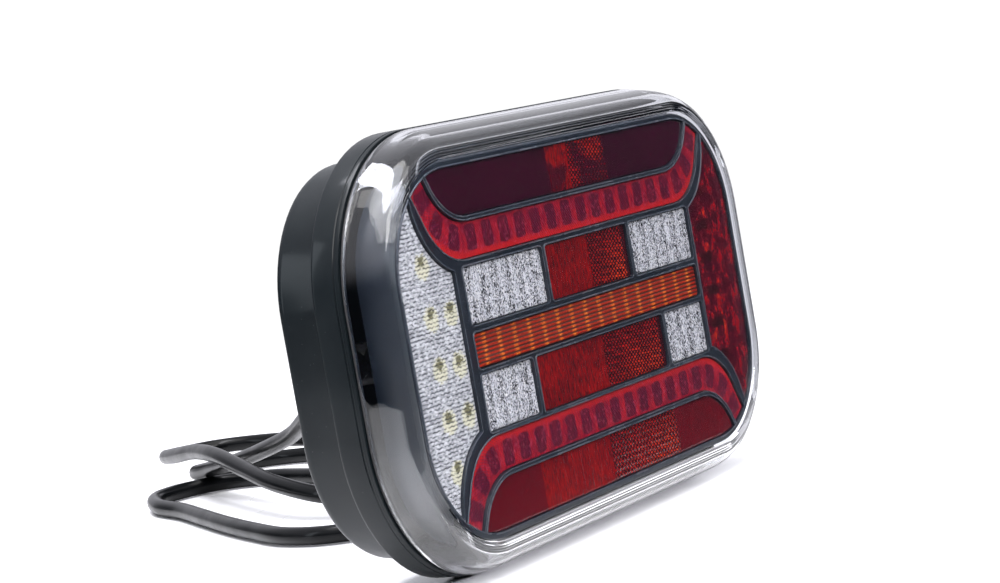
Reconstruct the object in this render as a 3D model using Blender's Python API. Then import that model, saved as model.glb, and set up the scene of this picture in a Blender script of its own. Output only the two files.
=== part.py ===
"""LED rear combination lamp for a trailer, with its lead and sealed round connector.

The lamp stands upright as it does on a trailer: +X runs along its length, -Y is the lit
face, +Y is the mounting face and +Z is up. The origin is under the middle of the lamp, on
the surface that it stands on. Sizes are in millimetres until at() turns them into metres.
"""

import math

import bmesh
import bpy
from mathutils import Matrix, Vector
from mathutils.geometry import tessellate_polygon

MM = 0.001
GAP = 0.3  # air between two pieces that touch on the real lamp

# Overall sizes
RIM_HALF_W = 119.0
RIM_HALF_H = 69.0
RIM_CORNER = 50.0
BASE_INSET = 6.5  # the rear box is this much smaller than the rim on every side
WALL = 2.5

# Depths behind the front of the lens
LENS_SKIN = 2.4
BEZEL_FRONT = 3.0
BEZEL_BACK = 5.0
WINDOW_FRONT = 3.6
WINDOW_BACK = 5.8
GRID_FRONT = 6.1
GRID_BACK = 15.4
REVERSE_BOARD_FRONT = 10.2
BOARD_FRONT = 15.7
BOARD_BACK = 17.3
JOINT = 16.5
RIM_BACK = 27.0
REAR_FACE = 45.0
STUD_END = 65.0
MID_DEPTH = STUD_END / 2  # the origin's depth

# The black bezel and its windows, from the middle of the lamp
BEZEL_HALF_W = 111.0
BEZEL_HALF_H = 57.6
BEZEL_CORNER = 35.5
BEZEL_EDGE = 2.3
BAND_LOW = 27.4
BAND_HIGH = 38.1
BAND_LOW_BEND_X = 70.0
BAND_HIGH_BEND_X = 66.0
BAND_BEND = 23.0
STRIP_LOW = 40.3
STRIP_BEND = 20.7
SIDE_WINDOW_X = 79.3
SIDE_WINDOW_BEND = 27.8
ROW_LEFT = -74.0
ROW_RIGHT = 76.6
UPPER_ROW = (7.3, 24.7)
AMBER_ROW = (-6.0, 4.5)
LOWER_ROW = (-25.5, -8.3)
UPPER_RED_X = (-23.2, 31.2)
LOWER_RED_X = (-40.0, 45.7)
ROW_WEB = 2.8

# Fasteners, cable entry and lead
STUD_X = 76.0
STUD_R = 3.0
BOARD_SCREW = (62.0, 48.0)
CABLE_R = 3.25
ENTRY_X = 0.0
ENTRY_Z = 60.0  # height above the standing surface
VENT_AT = (-40.0, -34.0)
ENTRY_HOLE_R = 7.3
VENT_HOLE_R = 2.8
BOSS_R = 3.5
BOSS_BORE_R = 1.3
BOSS_BORE_DEPTH = 12.0
WASHER_R = 7.0
NUT_FLATS = 10.0

# Light-emitting diodes and the electronics behind them
LED_PAD_HALF = 1.4
LED_STRIP_HALF = 3.0
LED_STRIP_THICK = 0.8
BAND_STRIP_END = 73.0
BAND_LEDS = 14
AMBER_LEDS = 16
WHITE_LEDS = (4, 3)  # in each clear window of the upper and the lower row
SIDE_STRIP_X = 93.0
SIDE_STRIP_HALF = (4.0, 24.0)
SIDE_LEDS = 6
SIDE_LED_PITCH = 8.0
DRIVER_BOX = (-38.0, 12.0, 30.0, 17.0, 19.5, 33.0)  # x, z, half width, half height, front, back
SOCKET_BOX = (26.0, -9.0, 9.0, 5.0, BOARD_BACK + GAP, 25.0)

CORNER_STEPS = 7
ROUND_STEPS = 16

# Route of the lead in millimetres, from the cable entry to the connector. It drops from the
# entry, lies in three loose loops behind the lamp and ends beside them.
CABLE_ROUTE = (
    (0, 19, 60), (0, 38, 60), (0, 58, 60), (10, 76, 56), (28, 98, 48), (49, 122, 39.5),
    (74, 149, 30), (100, 184, 21.5), (124, 216, 15), (145, 243, 10.5), (163, 265, 7),
    (186, 276, 4.2), (207, 262, 3.4), (208, 236, 3.4), (196, 205, 3.4), (175, 170, 3.4), (150, 134, 3.4),
    (119, 100, 3.4), (82, 74, 3.4), (45, 60, 3.4), (15, 65, 3.4), (2, 86, 3.4),
    (6, 110, 3.4), (22, 135, 3.4), (42, 162, 3.4), (63, 188, 3.4), (84, 214, 3.4),
    (102, 240, 3.4), (126, 257, 3.4), (150, 246, 3.4), (153, 219, 3.4), (143, 190, 3.4),
    (130, 158, 3.4), (116, 128, 3.4), (95, 104, 3.4), (69, 100, 4.5), (55, 122, 8.5),
    (65, 152, 13), (86, 182, 17), (110, 213, 20.5), (136, 243, 19.5), (160, 272, 15.5),
    (187, 297, 12), (214, 290, 10.5), (219, 262, 10), (209, 232, 10), (200, 206, 10),
    (194, 178, 8.6), (191.5, 160, 9.4), (190, 144, 10.3), (189, 132, 10.3), (188, 120, 10.3),
)
CABLE_POINTS = 79


def at(x, depth, z):
    """A point of the lamp: x from its middle, depth behind the lens front, z from its middle."""
    return Vector((x * MM, (depth - MID_DEPTH) * MM, (z + RIM_HALF_H) * MM))


# Materials ------------------------------------------------------------------------------

def material(name, colour, roughness, metallic=0.0, alpha=1.0):
    made = bpy.data.materials.new(name)
    made.use_nodes = True
    made.diffuse_color = (*colour, alpha)
    shader = made.node_tree.nodes["Principled BSDF"]
    shader.inputs["Base Color"].default_value = (*colour, 1.0)
    shader.inputs["Roughness"].default_value = roughness
    shader.inputs["Metallic"].default_value = metallic
    shader.inputs["Alpha"].default_value = alpha
    return made


# Outlines, as lists of (x, z) points that run anticlockwise ------------------------------

def arc(cx, cz, radius, start, end, steps):
    angles = [math.radians(start + (end - start) * i / steps) for i in range(steps + 1)]
    return [(cx + radius * math.cos(a), cz + radius * math.sin(a)) for a in angles]


def circle(cx, cz, radius, steps=ROUND_STEPS):
    return arc(cx, cz, radius, 0, 360, steps)[:-1]


def rounded(half_w, half_h, corner, cx=0.0, cz=0.0, steps=CORNER_STEPS):
    """A rectangle with round corners."""
    points = []
    for start, sx, sz in ((0, 1, 1), (90, -1, 1), (180, -1, -1), (270, 1, -1)):
        points += arc(
            cx + sx * (half_w - corner), cz + sz * (half_h - corner), corner, start, start + 90, steps
        )
    return points


def hexagon(cx, cz, across_flats):
    return circle(cx, cz, across_flats / math.sqrt(3), 6)


def thinned(outline, least=0.08):
    """The outline with points that almost coincide dropped."""
    kept = []
    for point in outline:
        if not kept or math.dist(point, kept[-1]) > least:
            kept.append(point)
    if math.dist(kept[0], kept[-1]) <= least:
        kept.pop()
    return kept


def clipped(outline, border):
    """The part of an outline that lies inside a convex border."""
    for (ax, az), (bx, bz) in zip(border, border[1:] + border[:1]):
        def side(p):
            return (bx - ax) * (p[1] - az) - (bz - az) * (p[0] - ax)

        kept = []
        for p, q in zip(outline, outline[1:] + outline[:1]):
            here, there = side(p), side(q)
            if here >= 0:
                kept.append(p)
            if here * there < 0:
                share = here / (here - there)
                kept.append((p[0] + share * (q[0] - p[0]), p[1] + share * (q[1] - p[1])))
        outline = kept
    return thinned(outline)


def grown(outline, by):
    """The outline moved outwards by a distance, or inwards where it is negative."""
    count = len(outline)
    moved = []
    for i, (x, z) in enumerate(outline):
        before = Vector((x, z)) - Vector(outline[i - 1])
        after = Vector(outline[(i + 1) % count]) - Vector((x, z))
        first = Vector((before.y, -before.x)).normalized()
        second = Vector((after.y, -after.x)).normalized()
        mitre = (first + second) / max(1 + first.dot(second), 0.4)
        moved.append((x + mitre.x * by, z + mitre.y * by))
    return moved


def turned_over(outline):
    """The outline mirrored top to bottom, still anticlockwise."""
    return [(x, -z) for x, z in reversed(outline)]


def swoop(height, bend_x, radius):
    """A level line that bends upwards at both ends, from left to right."""
    right = arc(bend_x, height + radius, radius, -90, -28, 8)
    rise = math.radians(62)
    end_x, end_z = right[-1]
    right.append((end_x + 40 * math.cos(rise), end_z + 40 * math.sin(rise)))
    return [(-x, z) for x, z in reversed(right)] + right


BEZEL_OUTLINE = rounded(BEZEL_HALF_W, BEZEL_HALF_H, BEZEL_CORNER)
WINDOW_BORDER = rounded(
    BEZEL_HALF_W - BEZEL_EDGE, BEZEL_HALF_H - BEZEL_EDGE, BEZEL_CORNER - BEZEL_EDGE
)


def strip_window():
    """The top window: level at its foot, with ends that sweep up to the bezel's edge."""
    foot = swoop(STRIP_LOW, BAND_HIGH_BEND_X, STRIP_BEND)
    return clipped(foot, WINDOW_BORDER)


def band_window():
    """The light guide's window: a band that runs level and turns up at both ends."""
    low = swoop(BAND_LOW, BAND_LOW_BEND_X, BAND_BEND)
    high = swoop(BAND_HIGH, BAND_HIGH_BEND_X, BAND_BEND)
    return clipped(low + high[::-1], WINDOW_BORDER)


def side_window(side):
    """The D-shaped window at one end; side is -1 for the left and 1 for the right."""
    centre_x, centre_z = BAND_LOW_BEND_X, BAND_LOW + BAND_BEND
    reach = SIDE_WINDOW_X - centre_x
    start = -math.degrees(math.acos(reach / SIDE_WINDOW_BEND))
    upper = arc(centre_x, centre_z, SIDE_WINDOW_BEND, start, 10, 7)
    right = [(140, -60), (140, 60)] + upper[::-1] + [(x, -z) for x, z in upper]
    outline = right if side > 0 else [(-x, z) for x, z in reversed(right)]
    return clipped(outline, WINDOW_BORDER)


def row_window(x0, x1, row):
    half_w, half_h = (x1 - x0) / 2, (row[1] - row[0]) / 2
    return rounded(half_w, half_h, 0.9, (x0 + x1) / 2, (row[0] + row[1]) / 2, steps=2)


WINDOWS = {
    "top_red_window": strip_window(),
    "upper_light_guide": band_window(),
    "reverse_light_window": side_window(-1),
    "side_red_window": side_window(1),
    "upper_left_white_lens": row_window(ROW_LEFT, UPPER_RED_X[0] - ROW_WEB, UPPER_ROW),
    "upper_reflex_reflector": row_window(*UPPER_RED_X, UPPER_ROW),
    "upper_right_white_lens": row_window(UPPER_RED_X[1] + ROW_WEB, ROW_RIGHT, UPPER_ROW),
    "amber_indicator_lens": row_window(ROW_LEFT, ROW_RIGHT, AMBER_ROW),
    "lower_left_white_lens": row_window(ROW_LEFT, LOWER_RED_X[0] - ROW_WEB, LOWER_ROW),
    "lower_reflex_reflector": row_window(*LOWER_RED_X, LOWER_ROW),
    "lower_right_white_lens": row_window(LOWER_RED_X[1] + ROW_WEB, ROW_RIGHT, LOWER_ROW),
    "lower_light_guide": turned_over(band_window()),
    "bottom_red_window": turned_over(strip_window()),
}
STRIP_CHAMBER = rounded(38.0, 6.4, 1.0, 0.0, STRIP_LOW + 7.6, steps=2)


# Surfaces -------------------------------------------------------------------------------

class Skin:
    """The closed surface of one piece, built ring by ring."""

    def __init__(self):
        self.mesh = bmesh.new()

    def ring(self, outline, depth):
        return [self.mesh.verts.new(at(x, depth, z)) for x, z in outline]

    def bridge(self, first, second):
        count = len(first)
        for i in range(count):
            j = (i + 1) % count
            self.mesh.faces.new((first[i], first[j], second[j], second[i]))

    def wall(self, outline, depths):
        """Rings of one outline at several depths, bridged; gives the first and last ring."""
        rings = [self.ring(outline, depth) for depth in depths]
        for first, second in zip(rings, rings[1:]):
            self.bridge(first, second)
        return rings[0], rings[-1]

    def cap(self, *rings):
        """A flat face bounded by the first ring, with the others as holes in it."""
        points = [vert for ring in rings for vert in ring]
        loops = [[Vector((v.co.x / MM, v.co.z / MM, 0)) for v in ring] for ring in rings]
        for corners in tessellate_polygon(loops):
            self.mesh.faces.new([points[i] for i in corners])

    def done(self, name, finish, smooth_under=35):
        bmesh.ops.recalc_face_normals(self.mesh, faces=self.mesh.faces)
        data = bpy.data.meshes.new(name)
        self.mesh.to_mesh(data)
        self.mesh.free()
        data.materials.append(finish)
        data.shade_smooth()
        data.set_sharp_from_angle(angle=math.radians(smooth_under))
        piece = bpy.data.objects.new(name, data)
        bpy.context.scene.collection.objects.link(piece)
        return piece


def plate(name, finish, outline, front, back, holes=()):
    """A flat piece with holes right through it."""
    skin = Skin()
    walls = [skin.wall(loop, (front, back)) for loop in (outline, *holes)]
    skin.cap(*[first for first, _ in walls])
    skin.cap(*[last for _, last in walls])
    return skin.done(name, finish)


def studded_plate(name, finish, outline, front, back, raised, top):
    """A flat piece with raised pads on its front; raised is the pads' outlines."""
    skin = Skin()
    near, far = skin.wall(outline, (front, back))
    skin.cap(far)
    feet = []
    for pad in raised:
        head, foot = skin.wall(pad, (top, front))
        skin.cap(head)
        feet.append(foot)
    skin.cap(near, *feet)
    return skin.done(name, finish)


def turned(name, finish, profile, x=0.0, z=0.0, bored=False, steps=ROUND_STEPS):
    """A round piece on a line along the depth; profile is (radius, depth) points."""
    skin = Skin()
    rings = []
    for radius, depth in profile:
        if radius:
            rings.append(skin.ring(circle(x, z, radius, steps), depth))
        else:
            rings.append([skin.mesh.verts.new(at(x, depth, z))])
    pairs = list(zip(rings, rings[1:]))
    if bored:
        pairs.append((rings[-1], rings[0]))
    for first, second in pairs:
        if len(first) == 1 and len(second) == 1:
            continue
        if len(first) == len(second):
            skin.bridge(first, second)
            continue
        tip, rim = (first, second) if len(first) == 1 else (second, first)
        for i in range(steps):
            skin.mesh.faces.new((tip[0], rim[i], rim[(i + 1) % steps]))
    return skin.done(name, finish)


def box(name, finish, x, z, half_w, half_h, front, back, corner):
    return plate(name, finish, rounded(half_w, half_h, corner, x, z, steps=2), front, back)


# Shells ---------------------------------------------------------------------------------

def rear_housing(finish):
    """The stepped tub: rim, rear box, screw bosses and the openings in its rear wall."""
    skin = Skin()
    base_w, base_h = RIM_HALF_W - BASE_INSET, RIM_HALF_H - BASE_INSET
    base_r = RIM_CORNER - BASE_INSET
    outside = [
        (0.0, JOINT + 0.5), (0.0, RIM_BACK - 0.8), (-0.8, RIM_BACK),
        (-BASE_INSET + 0.6, RIM_BACK), (-BASE_INSET, RIM_BACK + 0.6),
        (-BASE_INSET - 0.5, REAR_FACE - 2.2), (-BASE_INSET - 2.2, REAR_FACE),
    ]
    rings = [
        skin.ring(rounded(RIM_HALF_W + by, RIM_HALF_H + by, RIM_CORNER + by), depth)
        for by, depth in outside
    ]
    for first, second in zip(rings, rings[1:]):
        skin.bridge(first, second)
    floor = REAR_FACE - WALL
    shelf = RIM_BACK - WALL
    inside = [
        skin.ring(rounded(RIM_HALF_W - WALL, RIM_HALF_H - WALL, RIM_CORNER - WALL), depth)
        for depth in (JOINT + 0.5, shelf)
    ]
    inside += [
        skin.ring(rounded(base_w - WALL - 0.5, base_h - WALL - 0.5, base_r - WALL - 0.5), depth)
        for depth in (shelf, floor)
    ]
    for first, second in zip(inside, inside[1:]):
        skin.bridge(first, second)
    skin.cap(rings[0], inside[0])

    inner_holes, outer_holes = [], []
    entry_z = ENTRY_Z - RIM_HALF_H
    openings = [circle(sx * STUD_X, 0, STUD_R + GAP) for sx in (-1, 1)]
    openings += [circle(ENTRY_X, entry_z, ENTRY_HOLE_R), circle(*VENT_AT, VENT_HOLE_R)]
    for opening in openings:
        near, far = skin.wall(opening, (floor, REAR_FACE))
        inner_holes.append(near)
        outer_holes.append(far)
    for sx, sz in ((1, 1), (-1, 1), (-1, -1), (1, -1)):
        x, z = sx * BOARD_SCREW[0], sz * BOARD_SCREW[1]
        boss_top = BOARD_BACK + GAP
        foot, top = skin.wall(circle(x, z, BOSS_R), (floor, boss_top))
        bore = circle(x, z, BOSS_BORE_R, 8)
        mouth, bottom = skin.wall(bore, (boss_top, BOARD_BACK + BOSS_BORE_DEPTH))
        skin.cap(top, mouth)
        skin.cap(bottom)
        inner_holes.append(foot)
    skin.cap(inside[-1], *inner_holes)
    skin.cap(rings[-1], *outer_holes)
    return skin.done("rear_housing", finish)


def outer_lens(finish):
    """The clear cover: a flat front, a broad round edge and side walls, open at the back."""
    outside = (
        (111.5, 58.5, 36.0, 0.0), (113.8, 60.7, 38.2, 0.35), (116.3, 63.3, 41.0, 1.5),
        (117.6, 65.7, 44.5, 4.0), (118.2, 67.2, 47.0, 8.0), (118.8, 68.8, 49.6, JOINT - 1.0),
    )
    inside = (
        (116.4, 66.3, 47.2, JOINT - 1.0), (115.4, 64.2, 43.5, 6.0), (112.3, 59.0, 37.4, LENS_SKIN),
    )
    skin = Skin()
    rings = [skin.ring(rounded(w, h, r), depth) for w, h, r, depth in outside + inside]
    for first, second in zip(rings, rings[1:]):
        skin.bridge(first, second)
    skin.cap(rings[0])
    skin.cap(rings[-1])
    return skin.done("outer_lens", finish)


def lens_gasket(finish):
    edge = rounded(RIM_HALF_W - 0.9, RIM_HALF_H - 0.9, RIM_CORNER - 0.9)
    return plate(
        "lens_gasket", finish, edge, JOINT - 0.7, JOINT + 0.2, [grown(edge, -1.6)]
    )


# Optics and electronics ------------------------------------------------------------------

def bezel(finish):
    holes = [grown(outline, GAP) for outline in WINDOWS.values()]
    return plate("bezel", finish, BEZEL_OUTLINE, BEZEL_FRONT, BEZEL_BACK, holes)


def windows(finishes):
    for name, outline in WINDOWS.items():
        kind = "red"
        if "white" in name or "reverse" in name:
            kind = "clear"
        elif "amber" in name:
            kind = "amber"
        plate(name, finishes[kind], outline, WINDOW_FRONT, WINDOW_BACK)


def board_corners():
    return [(sx * BOARD_SCREW[0], sz * BOARD_SCREW[1]) for sx in (-1, 1) for sz in (-1, 1)]


def reflector_grid(finish):
    """The walls between the lit chambers, with clearance round the board's screws."""
    chambers = dict(WINDOWS)
    chambers["top_red_window"] = STRIP_CHAMBER
    chambers["bottom_red_window"] = turned_over(STRIP_CHAMBER)
    holes = [grown(outline, -0.5) for outline in chambers.values()]
    holes += [circle(x, z, 3.6, 12) for x, z in board_corners()]
    edge = grown(BEZEL_OUTLINE, -0.4)
    return plate("reflector_grid", finish, edge, GRID_FRONT, GRID_BACK, holes)


def circuit_board(finish):
    edge = rounded(107.0, 55.5, 33.0)
    holes = [circle(x, z, 1.7, 8) for x, z in board_corners()]
    return plate("led_circuit_board", finish, edge, BOARD_FRONT, BOARD_BACK, holes)


def led_pads(places):
    half = LED_PAD_HALF
    return [
        [(x - half, z - half), (x + half, z - half), (x + half, z + half), (x - half, z + half)]
        for x, z in places
    ]


def row_of(count, x0, x1, z):
    step = (x1 - x0) / count
    return [(x0 + step * (i + 0.5), z) for i in range(count)]


def strip_outline(x0, x1, z):
    return row_window(x0, x1, (z - LED_STRIP_HALF, z + LED_STRIP_HALF))


def led_strips(finish):
    """One strip of light-emitting diodes in each lit chamber."""
    band_z = (BAND_LOW + BAND_HIGH) / 2
    band_leds = row_of(BAND_LEDS, -BAND_LOW_BEND_X, BAND_LOW_BEND_X, band_z)
    band_strip = strip_outline(-BAND_STRIP_END, BAND_STRIP_END, band_z)
    amber_x0, amber_x1, amber_z = ROW_LEFT + 1.5, ROW_RIGHT - 1.5, sum(AMBER_ROW) / 2
    side_x, side_z = SIDE_STRIP_HALF
    side_foot = -SIDE_LED_PITCH * (SIDE_LEDS - 1) / 2
    strips = {
        "upper_guide_led_strip": (band_strip, band_leds),
        "lower_guide_led_strip": (turned_over(band_strip), [(x, -z) for x, z in band_leds]),
        "amber_led_strip": (
            strip_outline(amber_x0, amber_x1, amber_z),
            row_of(AMBER_LEDS, amber_x0, amber_x1, amber_z),
        ),
        "side_led_strip": (
            row_window(SIDE_STRIP_X - side_x, SIDE_STRIP_X + side_x, (-side_z, side_z)),
            [(SIDE_STRIP_X, side_foot + SIDE_LED_PITCH * i) for i in range(SIDE_LEDS)],
        ),
    }
    upper_count, lower_count = WHITE_LEDS
    white_rows = {
        "upper_left_led_strip": (ROW_LEFT, UPPER_RED_X[0] - ROW_WEB, UPPER_ROW, upper_count),
        "upper_right_led_strip": (UPPER_RED_X[1] + ROW_WEB, ROW_RIGHT, UPPER_ROW, upper_count),
        "lower_left_led_strip": (ROW_LEFT, LOWER_RED_X[0] - ROW_WEB, LOWER_ROW, lower_count),
        "lower_right_led_strip": (LOWER_RED_X[1] + ROW_WEB, ROW_RIGHT, LOWER_ROW, lower_count),
    }
    for name, (x0, x1, row, count) in white_rows.items():
        z = sum(row) / 2
        strips[name] = (strip_outline(x0 + 2, x1 - 2, z), row_of(count, x0 + 2, x1 - 2, z))
    back = BOARD_FRONT - GAP
    front = back - LED_STRIP_THICK
    for name, (outline, places) in strips.items():
        studded_plate(name, finish, outline, front, back, led_pads(places), front - LED_STRIP_THICK)


def reverse_light(finishes):
    """The reversing light: a raised board with diodes in rows of one, two, two, two and one."""
    pitch_x, pitch_z, column_x, end_x, middle_z = 11.3, 15.5, -89.3, -95.0, -1.0
    places = [(end_x, middle_z + 2 * pitch_z)]
    for row in (1, 0, -1):
        z = middle_z + row * pitch_z
        places += [(column_x + side * pitch_x / 2, z) for side in (-1, 1)]
    places.append((end_x, middle_z - 2 * pitch_z))
    top = REVERSE_BOARD_FRONT - GAP
    profile = (
        (0, top - 2.4), (1.0, top - 2.1), (1.6, top - 1.1), (2.2, top - 0.8), (2.2, top), (0, top),
    )
    for number, (x, z) in enumerate(places, 1):
        turned(f"reverse_led_{number}", finishes["led"], profile, x, z, steps=8)
    legs = [circle(-95.0, z, 1.5, 8) for z in (-24.0, 0.0, 24.0)]
    studded_plate(
        "reverse_led_board", finishes["board"], grown(WINDOWS["reverse_light_window"], -1.4),
        REVERSE_BOARD_FRONT + 1.6, REVERSE_BOARD_FRONT, legs, BOARD_FRONT - GAP,
    )


def electronics(finishes):
    box("driver_module", finishes["potting"], *DRIVER_BOX, corner=2.5)
    box("board_socket", finishes["white_plastic"], *SOCKET_BOX, corner=1.0)
    screw = (
        (0, 12.9), (2.4, 13.3), (2.8, 14.2), (2.8, BOARD_FRONT - GAP), (1.0, BOARD_FRONT - GAP),
        (1.0, BOARD_BACK + 9), (0, BOARD_BACK + 10),
    )
    for number, (x, z) in enumerate(board_corners(), 1):
        turned(f"board_screw_{number}", finishes["zinc"], screw, x, z, steps=10)


def internal_lead(finish):
    """The lead's sheathed tail inside the housing, from the cable entry to the board's socket."""
    z = ENTRY_Z - RIM_HALF_H
    turns = (
        (0, 51.2), (0, 42), (0, 33), (2.6, 26.5), (8.5, 22.2), (16.6, 21.4),
    )
    points = [at(ENTRY_X + x, depth, z) for x, depth in turns]
    return tube("internal_lead", finish, smooth_path(points, 14), CABLE_R)


# Fasteners, vent and cable entry ---------------------------------------------------------

def mounting_studs(finishes):
    floor = REAR_FACE - WALL
    stud = (
        (0, floor - 4.0), (5.0, floor - 3.6), (6.5, floor - 2.4), (6.5, floor - GAP),
        (STUD_R, floor - GAP), (STUD_R, STUD_END - 0.8), (STUD_R - 0.8, STUD_END), (0, STUD_END),
    )
    for number, x in enumerate((-STUD_X, STUD_X), 1):
        turned(f"mounting_stud_{number}", finishes["zinc"], stud, x, 0)
        bore = [circle(x, 0, STUD_R + GAP)]
        plate(f"stud_washer_{number}", finishes["zinc"], circle(x, 0, WASHER_R), 45.3, 46.9, bore)
        plate(f"stud_nut_{number}", finishes["zinc"], hexagon(x, 0, NUT_FLATS), 47.2, 52.2, bore)


def vent_plug(finish):
    profile = (
        (1.2, 41.0), (2.5, 41.0), (2.5, 45.3), (6.0, 45.3), (6.0, 47.0), (5.2, 47.8),
        (1.2, 47.8),
    )
    turned("vent_plug", finish, profile, *VENT_AT, bored=True)


def cable_entry(finishes):
    """Gland body, clamping bush, domed nut and the tapered strain relief."""
    x, z = ENTRY_X, ENTRY_Z - RIM_HALF_H
    bore = CABLE_R + GAP
    body = ((bore, 36.0), (7.0, 36.0), (7.0, 45.3), (11.0, 45.3), (11.0, 50.0), (bore, 50.0))
    turned("gland_body", finishes["black_plastic"], body, x, z, bored=True)
    bush = ((bore, 50.3), (6.6, 50.3), (6.6, 54.6), (bore, 55.6))
    turned("gland_bush", finishes["rubber"], bush, x, z, bored=True, steps=12)
    nut = (
        (7.0, 50.3), (10.0, 50.3), (10.0, 56.5), (8.4, 59.0), (bore, 59.6), (bore, 57.2),
        (7.0, 55.4),
    )
    turned("gland_nut", finishes["black_plastic"], nut, x, z, bored=True)
    relief = ((bore, 59.9), (6.2, 59.9), (6.0, 62.5), (4.7, 76.0), (4.3, 77.5), (bore, 77.5))
    turned("strain_relief", finishes["rubber"], relief, x, z, bored=True, steps=12)


# Lead and connector ----------------------------------------------------------------------

def smooth_path(points, count):
    """Points spread evenly along a smooth curve through the given ones."""
    dense = []
    last = len(points) - 1
    for i in range(last):
        a, b = points[max(i - 1, 0)], points[i]
        c, d = points[i + 1], points[min(i + 2, last)]
        for k in range(12):
            t = k / 12
            dense.append(
                0.5 * (2 * b + (c - a) * t + (2 * a - 5 * b + 4 * c - d) * t**2
                       + (3 * b - a - 3 * c + d) * t**3)
            )
    dense.append(points[-1])
    lengths = [0.0]
    for first, second in zip(dense, dense[1:]):
        lengths.append(lengths[-1] + (second - first).length)
    path, seen = [], 0
    for k in range(count):
        wanted = lengths[-1] * k / (count - 1)
        while seen < len(dense) - 2 and lengths[seen + 1] < wanted:
            seen += 1
        share = (wanted - lengths[seen]) / (lengths[seen + 1] - lengths[seen])
        path.append(dense[seen].lerp(dense[seen + 1], min(share, 1.0)))
    return path


def tube(name, finish, path, radius):
    curve = bpy.data.curves.new(name, "CURVE")
    curve.dimensions = "3D"
    curve.bevel_depth = radius * MM
    curve.bevel_resolution = 2
    curve.use_fill_caps = True
    spline = curve.splines.new("POLY")
    spline.points.add(len(path) - 1)
    for point, place in zip(spline.points, path):
        point.co = (*place, 1.0)
    curve.materials.append(finish)
    piece = bpy.data.objects.new(name, curve)
    bpy.context.scene.collection.objects.link(piece)
    return piece


def lead(finish):
    route = [Vector(point) * MM for point in CABLE_ROUTE]
    return tube("cable", finish, smooth_path(route, CABLE_POINTS), CABLE_R)


def connector(finishes):
    """A sealed round connector that lies on the surface at the end of the lead."""
    end, before = Vector(CABLE_ROUTE[-1]) * MM, Vector(CABLE_ROUTE[-2]) * MM
    turn = Vector((0, 1, 0)).rotation_difference(end - before).to_matrix().to_4x4()
    place = Matrix.Translation(end) @ turn @ Matrix.Translation(-at(0, 0, 0))
    bore = CABLE_R + 1.5 * GAP
    boot = (
        (bore, -12.0), (4.6, -12.0), (7.4, 2.0), (8.2, 7.0), (0, 7.0), (0, GAP), (bore, GAP),
    )
    body = (
        (0, 7.3), (8.6, 7.3), (8.6, 32.0), (7.2, 32.0), (7.2, 20.0), (0, 20.0),
    )
    insert = ((0, 20.3), (6.8, 20.3), (6.8, 30.0), (0, 30.0))
    ring = (
        (8.9, 14.0), (10.0, 14.0), (10.0, 33.0), (7.8, 33.0), (7.8, 32.3), (8.9, 32.3),
    )
    made = [
        turned("plug_boot", finishes["rubber"], boot, bored=True),
        turned("plug_body", finishes["black_plastic"], body),
        turned("plug_coupling_ring", finishes["black_plastic"], ring, bored=True),
        turned("plug_contact_insert", finishes["brass"], insert, steps=12),
    ]
    for piece in made:
        piece.data.transform(place)


def build():
    for old in list(bpy.data.objects):
        bpy.data.objects.remove(old)
    finishes = {
        "black_plastic": material("black_plastic", (0.012, 0.014, 0.016), 0.5),
        "rubber": material("black_rubber", (0.02, 0.02, 0.022), 0.7),
        "clear_cover": material("clear_cover", (0.75, 0.78, 0.85), 0.05, alpha=0.3),
        "bezel": material("bezel_black", (0.01, 0.014, 0.02), 0.3),
        "red": material("red_lens", (0.35, 0.005, 0.02), 0.15),
        "amber": material("amber_lens", (0.8, 0.12, 0.01), 0.15),
        "clear": material("frosted_lens", (0.7, 0.72, 0.76), 0.2),
        "grid": material("metallised_plastic", (0.75, 0.76, 0.78), 0.25, metallic=0.8),
        "board": material("board_green", (0.02, 0.12, 0.06), 0.4),
        "led": material("led_yellow", (0.75, 0.7, 0.35), 0.3),
        "potting": material("potting_black", (0.02, 0.02, 0.02), 0.4),
        "white_plastic": material("white_plastic", (0.8, 0.8, 0.78), 0.4),
        "zinc": material("zinc_plate", (0.62, 0.63, 0.65), 0.3, metallic=1.0),
        "cable": material("cable_sheath", (0.018, 0.018, 0.02), 0.45),
        "brass": material("contact_brass", (0.75, 0.55, 0.25), 0.3, metallic=1.0),
    }
    rear_housing(finishes["black_plastic"])
    outer_lens(finishes["clear_cover"])
    lens_gasket(finishes["rubber"])
    bezel(finishes["bezel"])
    windows(finishes)
    reflector_grid(finishes["grid"])
    circuit_board(finishes["board"])
    led_strips(finishes["led"])
    reverse_light(finishes)
    electronics(finishes)
    internal_lead(finishes["cable"])
    mounting_studs(finishes)
    vent_plug(finishes["rubber"])
    cable_entry(finishes)
    lead(finishes["cable"])
    connector(finishes)


build()
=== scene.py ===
"""Looks of a trailer rear combination lamp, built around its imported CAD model.

The lamp stands upright: +X runs along its length, -Y is the lit face and +Z is up. Lamp sizes
are in millimetres until at() turns them into metres in the row frame.
"""

import math

import bmesh
import bpy
from mathutils import Matrix, Vector, noise
from mathutils.geometry import tessellate_polygon


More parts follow.
